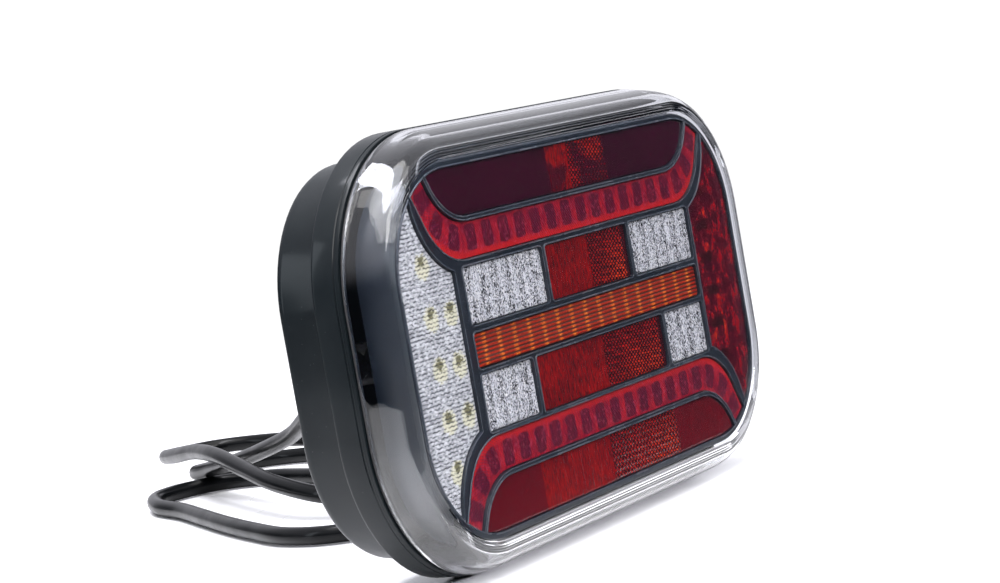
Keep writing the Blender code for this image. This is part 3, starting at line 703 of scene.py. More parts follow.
# The mask's own plastic made lighter for the lips round the windows: a painted highlight along
# their edges.
LIP_PAINTED_HIGHLIGHT = plastic("mask_lip", (0.06, 0.075, 0.095), (0.10, 0.11, 0.13), (0.22, 0.3), 4.0, 0.1, 0.0)
MASK = mask_finish()
ZINC = metal("zinc_plate", (0.66, 0.67, 0.69), (0.50, 0.50, 0.46), (0.22, 0.42))
BRASS = metal("contact_brass", (0.80, 0.58, 0.26), (0.58, 0.40, 0.18), (0.2, 0.4))
CHROME = metal("metallised_plastic", (0.84, 0.85, 0.87), (0.72, 0.73, 0.76), (0.08, 0.22))
COVER = cover_finish()
RIBBED = ribbed_finish()
GUIDE = light_guide_finish()
AMBER = amber_finish()
FROSTED = frosted_finish()
SIDE_RED = side_red_finish()
GREEN_BOARD = board_finish("board_green", (0.018, 0.11, 0.055), (0.05, 0.22, 0.10), (0.3, 0.45))
WHITE_BOARD = board_finish("board_white", (0.83, 0.85, 0.88), (0.70, 0.73, 0.78), (0.25, 0.4))
PHOSPHOR = plastic(
    "diode_phosphor", (0.58, 0.50, 0.03), (0.75, 0.68, 0.08), (0.25, 0.4), 4.0, 0.2, 0.0
)
DIODE_FRAME = plastic(
    "diode_frame", (0.78, 0.78, 0.75), (0.88, 0.88, 0.84), (0.3, 0.4), 4.0, 0.1, 0.0
)


# Outlines: lists of (x, z) points that run anticlockwise ---------------------------------

def arc(cx, cz, radius, start, end, steps):
    angles = [math.radians(start + (end - start) * i / steps) for i in range(steps + 1)]
    return [(cx + radius * math.cos(a), cz + radius * math.sin(a)) for a in angles]


def circle(cx, cz, radius, steps=TURN_STEPS):
    return arc(cx, cz, radius, 0, 360, steps)[:-1]


def rounded(half_w, half_h, corner, cx=0.0, cz=0.0, steps=CORNER_STEPS):
    points = []
    for start, sx, sz in ((0, 1, 1), (90, -1, 1), (180, -1, -1), (270, 1, -1)):
        centre = cx + sx * (half_w - corner), cz + sz * (half_h - corner)
        points += arc(*centre, corner, start, start + 90, steps)
    return points


def clipped(outline, border):
    """The part of an outline inside a convex border, without points that coincide."""
    for (ax, az), (bx, bz) in zip(border, border[1:] + border[:1]):
        kept = []
        for p, q in zip(outline, outline[1:] + outline[:1]):
            here = (bx - ax) * (p[1] - az) - (bz - az) * (p[0] - ax)
            there = (bx - ax) * (q[1] - az) - (bz - az) * (q[0] - ax)
            if here >= 0:
                kept.append(p)
            if here * there < 0:
                share = here / (here - there)
                kept.append((p[0] + share * (q[0] - p[0]), p[1] + share * (q[1] - p[1])))
        outline = kept
    spaced = []
    for point in outline:
        if not spaced or math.dist(point, spaced[-1]) > 0.08:
            spaced.append(point)
    if math.dist(spaced[0], spaced[-1]) <= 0.08:
        spaced.pop()
    return spaced


def grown(outline, by):
    """The outline moved outwards by a distance, or inwards where it is negative."""
    count = len(outline)
    moved = []
    for i, (x, z) in enumerate(outline):
        before = Vector((x, z)) - Vector(outline[i - 1])
        after = Vector(outline[(i + 1) % count]) - Vector((x, z))
        first = Vector((before.y, -before.x)).normalized()
        second = Vector((after.y, -after.x)).normalized()
        mitre = (first + second) / max(1 + first.dot(second), 0.4)
        moved.append((x + mitre.x * by, z + mitre.y * by))
    return moved


def turned_over(outline):
    return [(x, -z) for x, z in reversed(outline)]


def swoop(height, bend_x, radius):
    """A level line that bends upwards at both ends, from left to right."""
    right = arc(bend_x, height + radius, radius, -90, -28, 16)
    rise = math.radians(62)
    end_x, end_z = right[-1]
    right.append((end_x + 40 * math.cos(rise), end_z + 40 * math.sin(rise)))
    return [(-x, z) for x, z in reversed(right)] + right


MASK_OUTLINE = rounded(MASK_W, MASK_H, MASK_R)
WINDOW_BORDER = rounded(MASK_W - MASK_EDGE, MASK_H - MASK_EDGE, MASK_R - MASK_EDGE)


def strip_window():
    return clipped(swoop(STRIP_LOW, BAND_HIGH_BEND_X, STRIP_BEND), WINDOW_BORDER)


def band_window():
    low = swoop(BAND_LOW, BAND_LOW_BEND_X, BAND_BEND)
    high = swoop(BAND_HIGH, BAND_HIGH_BEND_X, BAND_BEND)
    return clipped(low + high[::-1], WINDOW_BORDER)


def side_window(side):
    centre_x, centre_z = BAND_LOW_BEND_X, BAND_LOW + BAND_BEND
    start = -math.degrees(math.acos((SIDE_WINDOW_X - centre_x) / SIDE_WINDOW_BEND))
    upper = arc(centre_x, centre_z, SIDE_WINDOW_BEND, start, 10, 14)
    right = [(140, -60), (140, 60)] + upper[::-1] + [(x, -z) for x, z in upper]
    outline = right if side > 0 else [(-x, z) for x, z in reversed(right)]
    return clipped(outline, WINDOW_BORDER)


def row_window(x0, x1, row):
    half_w, half_h = (x1 - x0) / 2, (row[1] - row[0]) / 2
    return rounded(half_w, half_h, 0.9, (x0 + x1) / 2, (row[0] + row[1]) / 2, steps=4)


WINDOWS = {
    "top_red_window": strip_window(),
    "upper_light_guide": band_window(),
    "reverse_light_window": side_window(-1),
    "side_red_window": side_window(1),
    "upper_left_white_lens": row_window(ROW_LEFT, UPPER_RED_X[0] - ROW_WEB, UPPER_ROW),
    "upper_reflex_reflector": row_window(*UPPER_RED_X, UPPER_ROW),
    "upper_right_white_lens": row_window(UPPER_RED_X[1] + ROW_WEB, ROW_RIGHT, UPPER_ROW),
    "amber_indicator_lens": row_window(ROW_LEFT, ROW_RIGHT, AMBER_ROW),
    "lower_left_white_lens": row_window(ROW_LEFT, LOWER_RED_X[0] - ROW_WEB, LOWER_ROW),
    "lower_reflex_reflector": row_window(*LOWER_RED_X, LOWER_ROW),
    "lower_right_white_lens": row_window(LOWER_RED_X[1] + ROW_WEB, ROW_RIGHT, LOWER_ROW),
    "lower_light_guide": turned_over(band_window()),
    "bottom_red_window": turned_over(strip_window()),
}


# Surfaces -------------------------------------------------------------------------------

class Skin:
    """The closed surface of one piece, built ring by ring."""

    def __init__(self):
        self.mesh = bmesh.new()
        self.slot = 0

    def ring(self, outline, depth):
        return [self.mesh.verts.new(at(x, depth, z)) for x, z in outline]

    def face(self, corners):
        made = self.mesh.faces.new(corners)
        made.material_index = self.slot
        return made

    def bridge(self, first, second):
        """Quads between two rings with the same number of points."""
        for i in range(len(first)):
            j = (i + 1) % len(first)
            self.face((first[i], first[j], second[j], second[i]))

    def run(self, rings):
        for first, second in zip(rings, rings[1:]):
            self.bridge(first, second)
        return rings[0], rings[-1]

    def wall(self, outline, depths):
        return self.run([self.ring(outline, depth) for depth in depths])

    def cap(self, *rings):
        """A flat face bounded by the first ring, with the others as holes in it."""
        points = [vert for ring in rings for vert in ring]
        loops = [[Vector((v.co.x / MM, v.co.z / MM, 0)) for v in ring] for ring in rings]
        for corners in tessellate_polygon(loops):
            self.face([points[i] for i in corners])

    def done(self, name, *finishes, smooth_under=32):
        bmesh.ops.recalc_face_normals(self.mesh, faces=self.mesh.faces)
        data = bpy.data.meshes.new(name)
        self.mesh.to_mesh(data)
        self.mesh.free()
        for finish in finishes:
            data.materials.append(finish)
        data.shade_smooth()
        data.set_sharp_from_angle(angle=math.radians(smooth_under))
        return show(name, data)


def turned(name, finish, profile, x=0.0, z=0.0, bored=False, steps=TURN_STEPS, outline=circle):
    """A round piece on a line along the depth; profile is (radius, depth) points."""
    skin = Skin()
    rings = []
    for radius, depth in profile:
        if radius:
            rings.append(skin.ring(outline(x, z, radius, steps), depth))
        else:
            rings.append([skin.mesh.verts.new(at(x, depth, z))])
    pairs = list(zip(rings, rings[1:]))
    if bored:
        pairs.append((rings[-1], rings[0]))
    for first, second in pairs:
        if len(first) == 1 and len(second) == 1:
            continue
        if len(first) == len(second):
            skin.bridge(first, second)
            continue
        tip, rim = (first, second) if len(first) == 1 else (second, first)
        for i in range(len(rim)):
            skin.face((tip[0], rim[i], rim[(i + 1) % len(rim)]))
    return skin.done(name, finish)


# Housing, cover and mask ------------------------------------------------------------------

HOUSING_OUTSIDE = (
    (-0.45, 16.85), (-0.1, 17.0), (0.0, 17.3), (0.0, 18.2), (-0.25, 18.45), (-0.25, 18.8),
    (0.0, 19.05), (0.0, 25.9), (-0.12, 26.5), (-0.4, 26.85), (-0.9, 27.0), (-5.5, 27.0),
    (-6.1, 27.12), (-6.4, 27.4), (-6.5, 27.8), (-7.0, 42.2), (-7.2, 43.4), (-7.7, 44.3),
    (-8.4, 44.85), (-9.2, 45.0), (-13.0, 45.0), (-13.3, 44.4), (-14.3, 44.4), (-14.6, 45.0),
)
BASE_INSET = 6.5


def rim_rings(skin, steps):
    """Rings of the rim's outline; each step is how far outwards it goes, and its depth."""
    return [
        skin.ring(rounded(RIM_W + by, RIM_H + by, RIM_R + by), depth) for by, depth in steps
    ]


def housing():
    """The stepped tub with a drawn line round its rim and a groove round its rear face."""
    skin = Skin()
    rings = rim_rings(skin, HOUSING_OUTSIDE)
    skin.run(rings)
    floor, shelf = REAR_FACE - WALL, RIM_BACK - WALL
    inner_by = -BASE_INSET - WALL - 0.5
    inside = rim_rings(skin, (
        (-WALL, 16.85), (-WALL, shelf - 0.6), (-WALL - 0.6, shelf), (inner_by + 0.6, shelf),
        (inner_by, shelf + 0.6), (inner_by, floor - 0.8), (inner_by - 0.8, floor),
    ))
    skin.run(inside)
    skin.cap(rings[0], inside[0])
    holes = [circle(side * STUD_X, 0, STUD_R + GAP) for side in (-1, 1)]
    holes += [circle(0, ENTRY_Z - RIM_H, ENTRY_R), circle(*VENT_AT, VENT_R)]
    walls = [skin.wall(hole, (floor, REAR_FACE)) for hole in holes]
    bosses = []
    for sx, sz in ((1, 1), (-1, 1), (-1, -1), (1, -1)):
        x, z = sx * SCREW_X, sz * SCREW_Z
        foot, top = skin.wall(circle(x, z, BOSS_R, 24), (floor, BOSS_TOP))
        mouth, bottom = skin.wall(circle(x, z, PILOT_R, 16), (BOSS_TOP, PILOT_END))
        skin.cap(top, mouth)
        skin.cap(bottom)
        bosses.append(foot)
    recesses = []
    for x, z, half_w, half_h in ((-38, 40, 22, 7), (38, 40, 22, 7), (44, -36, 18, 8)):
        near = skin.ring(rounded(half_w, half_h, 2.5, x, z, 6), REAR_FACE)
        low = skin.ring(rounded(half_w - 0.5, half_h - 0.5, 2.2, x, z, 6), REAR_FACE - 0.7)
        skin.bridge(near, low)
        skin.cap(low)
        recesses.append(near)
    skin.cap(inside[-1], *[near for near, _ in walls], *bosses)
    skin.cap(rings[-1], *[far for _, far in walls], *recesses)
    return skin.done("housing", HOUSING)


def cover_ring(half_w):
    """The cover's outline where its face reaches a half width."""
    return rounded(half_w, half_w - 53.0, half_w - 75.3)


def cover():
    """The clear cover: flat face, broad round edge, side walls and grooves inside its border."""
    outside = [
        (110.0, 57.0, 34.7, 0.0), (111.5, 58.5, 36.2, 0.06), (112.8, 59.8, 37.5, 0.22),
        (114.0, 60.9, 38.7, 0.5), (115.1, 62.0, 39.8, 0.92), (116.0, 63.0, 40.8, 1.5),
        (116.7, 64.0, 42.0, 2.4), (117.2, 65.1, 43.6, 3.6), (117.6, 66.2, 45.4, 5.6),
        (118.0, 67.2, 47.0, 8.6), (118.4, 68.1, 48.6, 12.4), (118.7, 68.7, 49.5, 14.9),
        (118.6, 68.6, 49.4, 15.5),
    ]
    inside = [
        (116.5, 66.3, 47.2, 15.5), (116.1, 65.5, 45.8, 10.0), (115.7, 64.4, 44.0, 6.0),
        (115.2, 63.2, 42.3, 4.0), (114.6, 62.0, 40.8, 3.2),
    ]
    skin = Skin()
    rings = [skin.ring(rounded(w, h, r), depth) for w, h, r, depth in outside + inside]
    for i in range(9):
        depth = 2.4 if i % 2 else 2.85
        rings.append(skin.ring(cover_ring(114.2 - 0.36 * i), depth))
    rings.append(skin.ring(cover_ring(111.0), 2.3))
    skin.run(rings)
    skin.cap(rings[0])
    skin.cap(rings[-1])
    return skin.done("cover", COVER)


def gasket():
    skin = Skin()
    rings = rim_rings(skin, (
        (-0.9, 15.9), (-0.7, 16.2), (-0.9, 16.6), (-2.4, 16.6), (-2.6, 16.2), (-2.4, 15.9),
    ))
    skin.run(rings + rings[:1])
    return skin.done("cover_gasket", RUBBER)


def mask():
    """The black mask with a fine raised lip round each window and a skirt behind its edge; the lip
    has a lighter copy of the mask's plastic, a painted highlight along each window's edge.
    """
    skin = Skin()
    edge = [
        skin.ring(grown(MASK_OUTLINE, by), depth)
        for by, depth in (
            (-0.9, MASK_FRONT), (-0.3, MASK_FRONT + 0.1), (0.0, MASK_FRONT + 0.5),
            (0.0, MASK_FOOT), (-0.33, MASK_FOOT), (-0.33, MASK_BACK),
        )
    ]
    skin.run(edge)
    fronts, backs = [], []
    lip = MASK_FRONT - LIP_RISE
    for outline in WINDOWS.values():
        rings = [
            skin.ring(grown(outline, by), depth)
            for by, depth in ((0.80, MASK_FRONT), (0.72, lip), (0.38, lip))
        ]
        # Slot 1 is the lip's lighter finish, a painted highlight.
        skin.slot = 1
        skin.run(rings)
        skin.slot = 0
        foot = skin.ring(grown(outline, 0.3), MASK_FRONT)
        back = skin.ring(grown(outline, 0.3), MASK_BACK)
        skin.run([rings[-1], foot, back])
        fronts.append(rings[0])
        backs.append(back)
    skin.cap(edge[0], *fronts)
    skin.cap(edge[-1], *backs)
    return skin.done("mask", MASK, LIP_PAINTED_HIGHLIGHT)


# Windows ----------------------------------------------------------------------------------

def crossing(outline, value, axis):
    """The lowest and highest place where a line across the outline meets it."""
    found = []
    for p, q in zip(outline, outline[1:] + outline[:1]):
        a, b = p[axis] - value, q[axis] - value
        if a * b < 0 or a == 0:
            share = 0.0 if a == b else a / (a - b)
            found.append(p[1 - axis] + share * (q[1 - axis] - p[1 - axis]))
    return min(found), max(found)


def band_track(x, z):
    """Distance along the light guide's middle, and the share of the way across it."""
    bend_x, bend_z = 68.0, 55.7
    side, level = math.copysign(1, x), abs(z)
    reach = abs(x) - bend_x
    if reach <= 0:
        return x, (level - BAND_LOW) / (BAND_HIGH - BAND_LOW)
    angle = math.atan2(reach, bend_z - level)
    radius = math.hypot(reach, bend_z - level)
    return side * (bend_x + 23.0 * angle), (bend_z - BAND_LOW - radius) / (BAND_HIGH - BAND_LOW)


def relief_window(name, finish, slot, height, step, across, axis=0, track=None):
    """A window whose front follows height(x, z) in millimetres; columns run along one axis."""
    outline = WINDOWS[name]
    low = min(p[axis] for p in outline) + 0.02
    high = max(p[axis] for p in outline) - 0.02
    columns = max(2, round((high - low) / step))
    skin = Skin()
    front, back, places = [], [], {}
    for i in range(columns + 1):
        here = low + (high - low) * i / columns
        first, last = crossing(outline, here, axis)
        near, far = [], []
        for j in range(across + 1):
            there = first + (last - first) * j / across
            x, z = (here, there) if axis == 0 else (there, here)
            rim = min(j, across - j, i, columns - i) == 0
            rise = 0.0 if rim else height(x, z)
            near.append(skin.mesh.verts.new(at(x, WINDOW_FRONT - rise, z)))
            if j in (0, across) or i in (0, columns):
                far.append(skin.mesh.verts.new(at(x, WINDOW_BACK, z)))
            else:
                far.append(None)
            places[near[-1]] = (x, z)
        front.append(near)
        back.append(far)
    for first, second in zip(front, front[1:]):
        for j in range(across):
            skin.face((first[j], second[j], second[j + 1], first[j + 1]))
    edge = [(i, 0) for i in range(columns)] + [(columns, j) for j in range(across)]
    edge += [(i, across) for i in range(columns, 0, -1)] + [(0, j) for j in range(across, 0, -1)]
    for (a, b), (c, d) in zip(edge, edge[1:] + edge[:1]):
        skin.face((front[a][b], front[c][d], back[c][d], back[a][b]))
    skin.face([back[i][j] for i, j in edge])
    if track:
        layer = skin.mesh.loops.layers.uv.new("track")
        for face in skin.mesh.faces:
            for loop in face.loops:
                x, z = (loop.vert.co.x / MM, loop.vert.co.z / MM - RIM_H)
                along, share = track(x, z)
                loop[layer].uv = (along * 0.01, share)
    piece = skin.done(name + "_optic", finish, smooth_under=24)
    return settled(piece, slot, name)


def flutes(pitch, depth, coordinate):
    """Rounded flutes of a pitch and depth across one coordinate."""
    return lambda x, z: depth * abs(math.sin(math.pi * (x, z)[coordinate] / pitch))


def pyramids(x, z, size, rise):
    """Staggered six-sided pyramids."""
    row_step = size * math.sqrt(3) / 2
    row = round(z / row_step)
    nearest = size
    for near_row in (row - 1, row, row + 1):
        shift = size / 2 if near_row % 2 else 0.0
        centre = round((x - shift) / size) * size + shift
        nearest = min(nearest, math.hypot(x - centre, z - near_row * row_step))
    return rise * max(0.0, 1 - nearest / (size * 0.58))


def cut_red(grain_x, honey_x):
    def height(x, z):
        if honey_x[0] < x < honey_x[1]:
            return pyramids(x, z, 2.4, 0.42)
        if grain_x[0] < x < grain_x[1]:
            return 0.12 * abs(math.sin(math.pi * x / 1.1)) + 0.05 * noise.noise((x, z * 0.3, 0))
        return 0.1
    return height


def frosted(x, z):
    return flutes(FROST_FLUTE / 2, 0.15, 0)(x, z) + 0.5 * pyramids(x, z, 1.3, 0.3)


def guide_relief(x, z):
    along, share = band_track(x, z)
    crown = math.sin(math.pi * min(max(share, 0.0), 1.0))
    return 0.16 * crown + 0.05 * pyramids(along, z, 1.15, 1.0)


def amber_relief(x, z):
    return 0.25 * abs(math.cos(math.pi * (z - AMBER_ROW[0]) / FLUTE + math.pi / 2))


def side_relief(x, z):
    return 0.12 + 0.12 * abs(math.sin(math.pi * z / 5.75))


def windows():
    strips = {
        "top_red_window": ((0.020, 0.0004, 0.006), 0.85, (-12.0, 2.0), (2.0, 27.0)),
        "bottom_red_window": ((0.075, 0.0006, 0.004), 0.3, (-47.5, -2.0), (-2.0, 45.0)),
    }
    for name, (plain, clear, grain, honey) in strips.items():
        z = (BAND_HIGH, MASK_H) if "top" in name else (-MASK_H, -BAND_HIGH)
        finish = cut_red_finish(name + "_finish", plain, clear, grain, honey, *z)
        relief_window(name, finish, "red_lens", cut_red(grain, honey), 0.5, 36)
    for name, x, row in (
        ("upper_reflex_reflector", UPPER_RED_X, UPPER_ROW),
        ("lower_reflex_reflector", LOWER_RED_X, LOWER_ROW),
    ):
        split = x[0] + 0.52 * (x[1] - x[0])
        grain, honey = (x[0] - 2, split), (split, x[1] - 2.5)
        finish = cut_red_finish(name + "_finish", (0.03, 0.001, 0.003), 0.4, grain, honey, *row)
        relief_window(name, finish, "red_lens", cut_red(grain, honey), 0.4, 44)
    for name in ("upper_light_guide", "lower_light_guide"):
        relief_window(name, GUIDE, "red_lens", guide_relief, 0.45, 24, track=band_track)
    relief_window("amber_indicator_lens", AMBER, "amber_lens", amber_relief, 1.2, 64)
    for name in WINDOWS:
        if "white" in name:
            relief_window(name, FROSTED, "frosted_lens", frosted, 0.35, 44)
    relief_window("side_red_window", SIDE_RED, "red_lens", side_relief, 0.6, 30, axis=1)
    relief_window(
        "reverse_light_window", RIBBED, "frosted_lens", flutes(RIB, 0.12, 1), 0.3, 24, axis=1
    )


# Geometry trees for what repeats ------------------------------------------------------------

def shape_tree(name, inputs):
    tree = bpy.data.node_groups.new(name, "GeometryNodeTree")
    tree.interface.new_socket("Geometry", in_out="INPUT", socket_type="NodeSocketGeometry")
    for label, kind in inputs:
        tree.interface.new_socket(label, in_out="INPUT", socket_type=kind)
    tree.interface.new_socket("Finish", in_out="INPUT", socket_type="NodeSocketMaterial")
    tree.interface.new_socket("Geometry", in_out="OUTPUT", socket_type="NodeSocketGeometry")
    graph = Graph(tree)
    return graph, graph.node("NodeGroupInput").outputs, graph.node("NodeGroupOutput").inputs


def close_tree(graph, given, out, geometry):
    real = graph.node("GeometryNodeRealizeInstances", {"Geometry": geometry})
    painted = graph.node(
        "GeometryNodeSetMaterial", {"Geometry": real.outputs[0], "Material": given["Finish"]}
    )
    graph.feed(out["Geometry"], painted.outputs[0])
    return graph.tree


def copies_tree():
    """A copy of one unit on each point of the carrier."""
    graph, given, out = shape_tree(
        "copies_on_points", (("Unit", "NodeSocketObject"), ("Size", FLOAT))
    )
    unit = graph.node("GeometryNodeObjectInfo", {"Object": given["Unit"]})
    placed = graph.node(
        "GeometryNodeInstanceOnPoints",
        {"Points": given["Geometry"], "Instance": unit.outputs["Geometry"], "Scale": given["Size"]},
    )
    return close_tree(graph, given, out, placed.outputs[0])


def bars_tree():
    """Bars set upright in a ring, turned to face its axis."""
    graph, given, out = shape_tree(
        "bars_in_ring", (("Count", "NodeSocketInt"), ("Radius", FLOAT), ("Bar Size", VECTOR))
    )
    ring = graph.node(
        "GeometryNodeMeshCircle", {"Vertices": given["Count"], "Radius": given["Radius"]}
    )
    bar = graph.node("GeometryNodeMeshCube", {"Size": given["Bar Size"]})
    step = graph.math("DIVIDE", math.tau, given["Count"])
    turn = graph.times(graph.node("GeometryNodeInputIndex").outputs[0], step)
    facing = graph.node("ShaderNodeCombineXYZ", {"Z": turn})
    placed = graph.node(
        "GeometryNodeInstanceOnPoints",
        {"Points": ring.outputs["Mesh"], "Instance": bar.outputs["Mesh"],
         "Rotation": facing.outputs[0]},
    )
    return close_tree(graph, given, out, placed.outputs[0])


def thread_tree():
    """A screw thread: a three-sided ridge wound along a spiral."""
    graph, given, out = shape_tree(
        "screw_thread", (("Turns", FLOAT), ("Length", FLOAT), ("Radius", FLOAT), ("Ridge", FLOAT))
    )
    spiral = graph.node(
        "GeometryNodeCurveSpiral",
        {"Resolution": 24, "Rotations": given["Turns"], "Start Radius": given["Radius"],
         "End Radius": given["Radius"], "Height": given["Length"]},
    )
    ridge = graph.node(
        "GeometryNodeCurvePrimitiveCircle", {"Resolution": 3, "Radius": given["Ridge"]}
    )
    wound = graph.node(
        "GeometryNodeCurveToMesh",
        {"Curve": spiral.outputs[0], "Profile Curve": ridge.outputs[0], "Fill Caps": True},
    )
    return close_tree(graph, given, out, wound.outputs[0])


def grow(name, tree, finish, points, place, **sizes):
    """The plain mesh that a geometry tree gives, moved to its place."""
    base = bpy.data.meshes.new(name + "_points")
    base.from_pydata(points, [], [])
    carrier = show(name + "_carrier", base)
    modifier = carrier.modifiers.new("shape", "NODES")
    modifier.node_group = tree
    values = {label.replace("_", " "): value for label, value in sizes.items()}
    values["Finish"] = finish
    for item in tree.interface.items_tree:
        if item.item_type == "SOCKET" and item.in_out == "INPUT" and item.name in values:
            modifier[item.identifier] = values[item.name]
    evaluated = carrier.evaluated_get(bpy.context.evaluated_depsgraph_get())
    data = bpy.data.meshes.new_from_object(evaluated)
    bpy.data.objects.remove(carrier)
    data.transform(place)
    data.name = name
    return show(name, data)


COPIES, BARS, THREAD = copies_tree(), bars_tree(), thread_tree()
FACE_TURN = Matrix.Rotation(math.radians(-90), 4, "X")  # a tree's Z becomes the lamp's depth


def joined(piece, *others):
    """One piece made of several meshes."""
    mesh = bmesh.new()
    finishes = []
    for part in (piece, *others):
        start = len(mesh.faces)
        mesh.from_mesh(part.data)
        mesh.faces.ensure_lookup_table()
        for face in mesh.faces[start:]:
            own = part.data.materials[face.material_index]
            if own not in finishes:
                finishes.append(own)
            face.material_index = finishes.index(own)
    mesh.to_mesh(piece.data)
    mesh.free()
    piece.data.materials.clear()
    for finish in finishes:
        piece.data.materials.append(finish)
    for part in others:
        bpy.data.objects.remove(part)
    return piece


# Diodes, fasteners and cable entry ----------------------------------------------------------

def spare(build):
    """A unit for a tree, moved from the lamp's middle to the origin."""
    unit = build()
    unit.data.transform(Matrix.Translation(-at(0, 0, 0)))
    return unit


def diodes():
    """Reversing diodes: a pale frame with a yellow phosphor window."""
    def frame_unit():
        skin = Skin()
        rings = [
            skin.ring(rounded(half, half, 0.3, 0, 0, 3), depth)
            for half, depth in ((2.1, 0.0), (2.1, -0.9), (2.0, -1.0), (1.55, -1.0), (1.35, -0.7))
        ]
        skin.run(rings)
        skin.cap(rings[0])
        skin.cap(rings[-1])
        return skin.done("frame_unit", DIODE_FRAME)

    def phosphor_unit():
        profile = ((0, -0.75), (1.28, -0.75), (1.2, -0.95), (0.8, -1.15), (0, -1.22))
        return turned("phosphor_unit", PHOSPHOR, profile, steps=16)

    places = [at(x, DIODE_TOP, z) for x, z in REVERSING_DIODES]
    pieces = []
    for name, build, finish in (
        ("reversing_diodes", frame_unit, DIODE_FRAME), ("phosphor", phosphor_unit, PHOSPHOR)
    ):
        unit = spare(build)
        pieces.append(grow(name, COPIES, finish, places, Matrix(), Unit=unit, Size=1.0))
        bpy.data.objects.remove(unit)
    piece = joined(*pieces)
    settled(piece, "led", *[f"reverse_led_{i}" for i in range(1, 9)])


def studs():
    for number, x in enumerate((-STUD_X, STUD_X), 1):
        core = (
            (0, 38.5), (5.0, 38.9), (6.5, 40.1), (6.5, 42.2), (2.7, 42.2), (2.7, 44.5),
            (2.6, 63.6), (2.0, 64.7), (0, STUD_END),
        )
        stud = turned(f"mounting_stud_{number}_threaded", ZINC, core, x, 0)
        start = at(x, 43.5, 0)
        thread = grow(
            "thread", THREAD, ZINC, [(0, 0, 0)], Matrix.Translation(start) @ FACE_TURN,
            Turns=20.0, Length=20.0 * MM, Radius=2.62 * MM, Ridge=0.36 * MM,
        )
        settled(joined(stud, thread), "zinc_plate", f"mounting_stud_{number}")
        ring = ((3.3, 45.3), (6.8, 45.3), (7.0, 45.5), (7.0, 46.7), (6.8, 46.9), (3.3, 46.9))
        washer = turned(f"stud_washer_{number}_bevelled", ZINC, ring, x, 0, bored=True)
        settled(washer, "zinc_plate", f"stud_washer_{number}")
        nut_piece(number, x)


def nut_piece(number, x):
    """A hexagonal nut whose corners are turned off at both faces."""
    flats = 10.0 / math.sqrt(3)
    skin = Skin()
    rings = []
    for depth, limit in ((47.2, 5.05), (47.6, flats), (51.8, flats), (52.2, 5.05)):
        outline = []
        for px, pz in rounded_hexagon(x, flats):
            away = math.hypot(px - x, pz)
            share = min(1.0, limit / away)
            outline.append((x + (px - x) * share, pz * share))
        rings.append(skin.ring(outline, depth))
    skin.run(rings)
    bore = [skin.ring(circle(x, 0, radius), depth) for radius, depth in (
        (3.9, 47.2), (3.3, 47.7), (3.3, 51.7), (3.9, 52.2))]
    skin.run(bore)
    skin.cap(rings[0], bore[0])
    skin.cap(rings[-1], bore[-1])
    piece = skin.done(f"stud_nut_{number}_bevelled", ZINC, smooth_under=20)
    settled(piece, "zinc_plate", f"stud_nut_{number}")


def rounded_hexagon(x, radius, per_side=8):
    """A hexagon with several points along each side."""
    corners = circle(x, 0, radius, 6)
    points = []
    for (ax, az), (bx, bz) in zip(corners, corners[1:] + corners[:1]):
        points += [
            (ax + (bx - ax) * k / per_side, az + (bz - az) * k / per_side) for k in range(per_side)
        ]
    return points


def screws():
    """Board screws: a domed head with a cross recess cut as a ring step, and a pointed shank."""
    profile = (
        (0, 13.3), (0.9, 13.3), (0.95, 12.95), (1.6, 13.0), (2.3, 13.35), (2.7, 13.9), (2.8, 14.4),
        (2.8, 15.4), (1.05, 15.4), (1.05, 26.3), (0, 27.3),
    )
    unit = spare(lambda: turned("screw_unit", ZINC, profile, steps=20))
    for number, (sx, sz) in enumerate(((-1, -1), (-1, 1), (1, -1), (1, 1)), 1):
        place = [at(sx * SCREW_X, 0, sz * SCREW_Z)]
        name = f"board_screw_{number}_domed"
        piece = grow(name, COPIES, ZINC, place, Matrix(), Unit=unit, Size=1.0)
        settled(piece, "zinc_plate", f"board_screw_{number}")
    bpy.data.objects.remove(unit)


def vent():
    profile = (
        (1.2, 41.0), (2.5, 41.0), (2.5, 45.3), (5.8, 45.3), (6.0, 45.5), (6.0, 46.8), (5.8, 47.2),
        (5.2, 47.75), (4.6, 47.8), (4.4, 47.3), (3.2, 47.3), (3.0, 47.8), (1.2, 47.8),
    )
    piece = turned("vent_plug_stepped", RUBBER, profile, *VENT_AT, bored=True)
    settled(piece, "black_rubber", "vent_plug")


def cable_entry():
    z = ENTRY_Z - RIM_H
    bore = CABLE_R + GAP
    body = (
        (bore, 36.0), (6.6, 36.0), (7.0, 36.4), (7.0, 45.3), (10.4, 45.3), (11.0, 45.9),
        (11.0, 49.4), (10.4, 50.0), (bore, 50.0),
    )
    bush = ((bore, 50.3), (6.6, 50.3), (6.6, 54.6), (bore, 55.6))
    for name, finish, profile, slot, node in (
        ("gland_body_flanged", HARD_BLACK, body, "housing_plastic", "gland_body"),
        ("gland_bush_round", RUBBER, bush, "black_rubber", "gland_bush"),
    ):
        settled(turned(name, finish, profile, 0, z, bored=True), slot, node)
    nut = (
        (7.0, 50.3), (9.2, 50.3), (9.6, 50.7), (9.6, 56.3), (9.2, 57.4), (8.4, 58.6), (7.2, 59.3),
        (5.6, 59.6), (bore, 59.6), (bore, 57.2), (7.0, 55.4),
    )
    domed = turned("gland_nut_gripped", HARD_BLACK, nut, 0, z, bored=True)
    grips = grow(
        "grips", BARS, HARD_BLACK, [(0, 0, 0)], Matrix.Translation(at(0, 53.4, z)) @ FACE_TURN,
        Count=20, Radius=9.55 * MM, Bar_Size=(0.8 * MM, 1.3 * MM, 5.0 * MM),
    )
    settled(joined(domed, grips), "housing_plastic", "gland_nut")


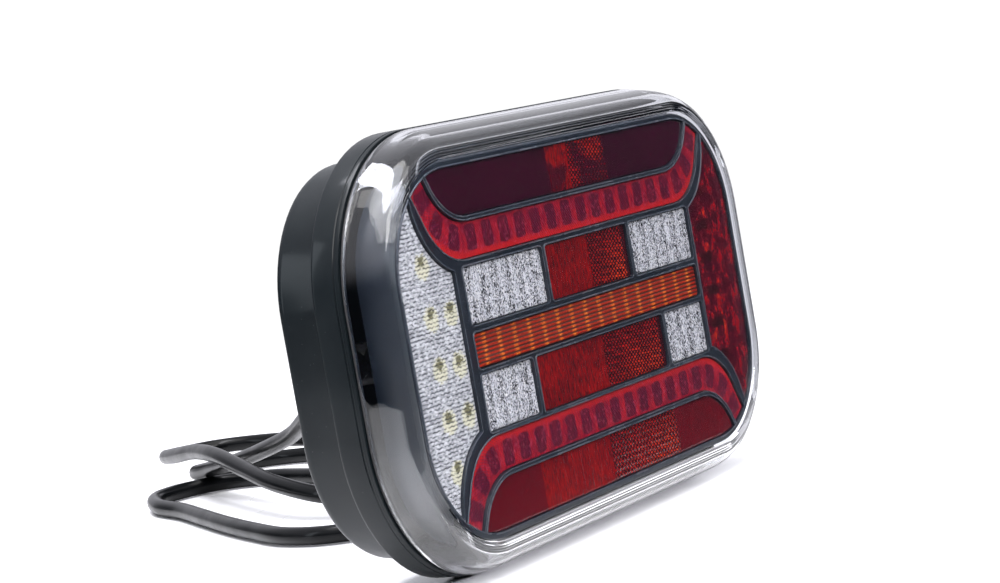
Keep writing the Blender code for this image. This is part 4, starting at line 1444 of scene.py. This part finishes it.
def ribbed_sleeve(mouth, foot, thin, thick, bore, ribs):
    """Profile of a tapered rubber sleeve with rounded ribs, bored for the lead."""
    points = [(bore, foot), (thick - 0.3, foot), (thick, foot + math.copysign(0.3, mouth - foot))]
    for i in range(1, ribs):
        for part, inset in ((0.15, 0.0), (0.4, 0.0), (0.5, 0.55), (0.9, 0.55), (1.0, 0.0)):
            share = (i - 1 + part) / ribs
            radius = thick + (thin - thick) * share
            depth = foot + (mouth - foot) * (0.06 + 0.9 * share)
            points.append((max(radius - inset, bore + 0.35), depth))
    edge = mouth - math.copysign(0.6, mouth - foot)
    return points + [(thin, edge), (thin - 0.35, mouth), (bore, mouth)]


def strain_relief():
    profile = ribbed_sleeve(77.5, 59.9, 4.3, 6.2, CABLE_R + GAP, 7)
    piece = turned("strain_relief_ribbed", RUBBER, profile, 0, ENTRY_Z - RIM_H, bored=True)
    return settled(piece, "black_rubber", "strain_relief")


# Lead and connector -------------------------------------------------------------------------

def smooth_path(points, count):
    """Points spread evenly along a smooth curve through the given ones."""
    dense = []
    last = len(points) - 1
    for i in range(last):
        a, b = points[max(i - 1, 0)], points[i]
        c, d = points[i + 1], points[min(i + 2, last)]
        for k in range(12):
            t = k / 12
            dense.append(
                0.5 * (2 * b + (c - a) * t + (2 * a - 5 * b + 4 * c - d) * t**2
                       + (3 * b - a - 3 * c + d) * t**3)
            )
    dense.append(points[-1])
    lengths = [0.0]
    for first, second in zip(dense, dense[1:]):
        lengths.append(lengths[-1] + (second - first).length)
    path, seen = [], 0
    for k in range(count):
        wanted = lengths[-1] * k / (count - 1)
        while seen < len(dense) - 2 and lengths[seen + 1] < wanted:
            seen += 1
        share = (wanted - lengths[seen]) / (lengths[seen + 1] - lengths[seen])
        path.append(dense[seen].lerp(dense[seen + 1], min(share, 1.0)))
    return path


def tube(name, finish, path, radius):
    curve = bpy.data.curves.new(name, "CURVE")
    curve.dimensions = "3D"
    curve.bevel_depth = radius * MM
    curve.bevel_resolution = 8
    curve.use_fill_caps = True
    spline = curve.splines.new("POLY")
    spline.points.add(len(path) - 1)
    spline.use_smooth = True
    for point, place in zip(spline.points, path):
        point.co = (*place, 1.0)
    curve.materials.append(finish)
    return show(name, curve)


def connector():
    """A sealed round connector that lies on the surface at the end of the lead."""
    end, before = Vector(CABLE_ROUTE[-1]) * MM, Vector(CABLE_ROUTE[-2]) * MM
    turn = Vector((0, 1, 0)).rotation_difference(end - before).to_matrix().to_4x4()
    place = Matrix.Translation(end) @ turn @ Matrix.Translation(-at(0, 0, 0))
    bore = CABLE_R + 1.5 * GAP
    sleeve = ribbed_sleeve(-12.0, 2.0, 4.6, 7.4, bore, 5)
    boot = [(0, GAP), (bore, GAP)] + sleeve[::-1] + [(8.2, 6.2), (8.0, 7.0), (0, 7.0)]
    body = (
        (0, 7.3), (8.3, 7.3), (8.6, 7.6), (8.6, 31.7), (8.4, 32.0), (7.4, 32.0), (7.2, 31.8),
        (7.2, 20.0), (0, 20.0),
    )
    insert = ((0, 20.3), (6.8, 20.3), (6.8, 29.7), (6.5, 30.0), (0, 30.0))
    ring = (
        (8.9, 14.0), (9.3, 14.0), (9.6, 14.3), (9.6, 32.7), (9.3, 33.0), (7.8, 33.0), (7.8, 32.3),
        (8.9, 32.3),
    )
    boot_piece = turned("plug_boot_ribbed", RUBBER, boot)
    body_piece = turned("plug_body_round", HARD_BLACK, body)
    ring_piece = turned("plug_ring_round", HARD_BLACK, ring, bored=True)
    knurls = grow(
        "knurls", BARS, HARD_BLACK, [(0, 0, 0)], Matrix.Translation(at(0, 23.5, 0)) @ FACE_TURN,
        Count=32, Radius=9.6 * MM, Bar_Size=(0.7 * MM, 0.9 * MM, 15.0 * MM),
    )
    ring_piece = joined(ring_piece, knurls)
    ring_piece.name = "plug_coupling_ring_knurled"
    insert_piece = turned("plug_insert_with_pins", WHITE_PLASTIC, insert)
    contact = ((0, 0), (0.75, 0), (0.75, 3.6), (0.4, 4.2), (0, 4.3))
    pin = spare(lambda: turned("pin_unit", BRASS, contact, steps=16))
    spots = [(0, 0)] + circle(0, 0, 4.2, 6)
    spots = [at(x, 29.5, z) for x, z in spots]
    pins = grow("pins", COPIES, BRASS, spots, Matrix(), Unit=pin, Size=1.0)
    bpy.data.objects.remove(pin)
    insert_piece = joined(insert_piece, pins)
    made = (
        (boot_piece, "black_rubber", "plug_boot"), (body_piece, "housing_plastic", "plug_body"),
        (ring_piece, "housing_plastic", "plug_coupling_ring"),
        (insert_piece, "contact_brass", "plug_contact_insert"),
    )
    for piece, slot, node in made:
        piece.data.transform(place)
        settled(piece, slot, node)
    return [piece for piece, _, _ in made]


def lead():
    route = [Vector(point) * MM for point in CABLE_ROUTE]
    cable = tube("lead_cable", SHEATH, smooth_path(route, LEAD_POINTS), CABLE_R)
    settled(cable, "cable_sheath", "cable")
    strain_relief()
    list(connector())


def inner_nodes():
    """CAD nodes that stay as they are, with their own materials."""
    kept = {
        CHROME: ("reflector_grid",),
        GREEN_BOARD: ("led_circuit_board",),
        WHITE_BOARD: ("reverse_led_board",),
        DIODE_FRAME: tuple(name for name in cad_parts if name.endswith("_led_strip")),
        POTTING: ("driver_module",),
        WHITE_PLASTIC: ("board_socket",),
        SHEATH: ("internal_lead",),
    }
    for finish, names in kept.items():
        for name in names:
            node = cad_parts[name]
            node.data.materials.clear()
            node.data.materials.append(finish)


camera()
lead()
studio()
settled(housing(), "housing_plastic", "rear_housing")
settled(cover(), "clear_cover", "outer_lens")
settled(gasket(), "black_rubber", "lens_gasket")
settled(mask(), "bezel_black", "bezel")
windows()
diodes()
studs()
screws()
vent()
cable_entry()
inner_nodes()
bpy.context.scene.view_settings.view_transform = "Standard"
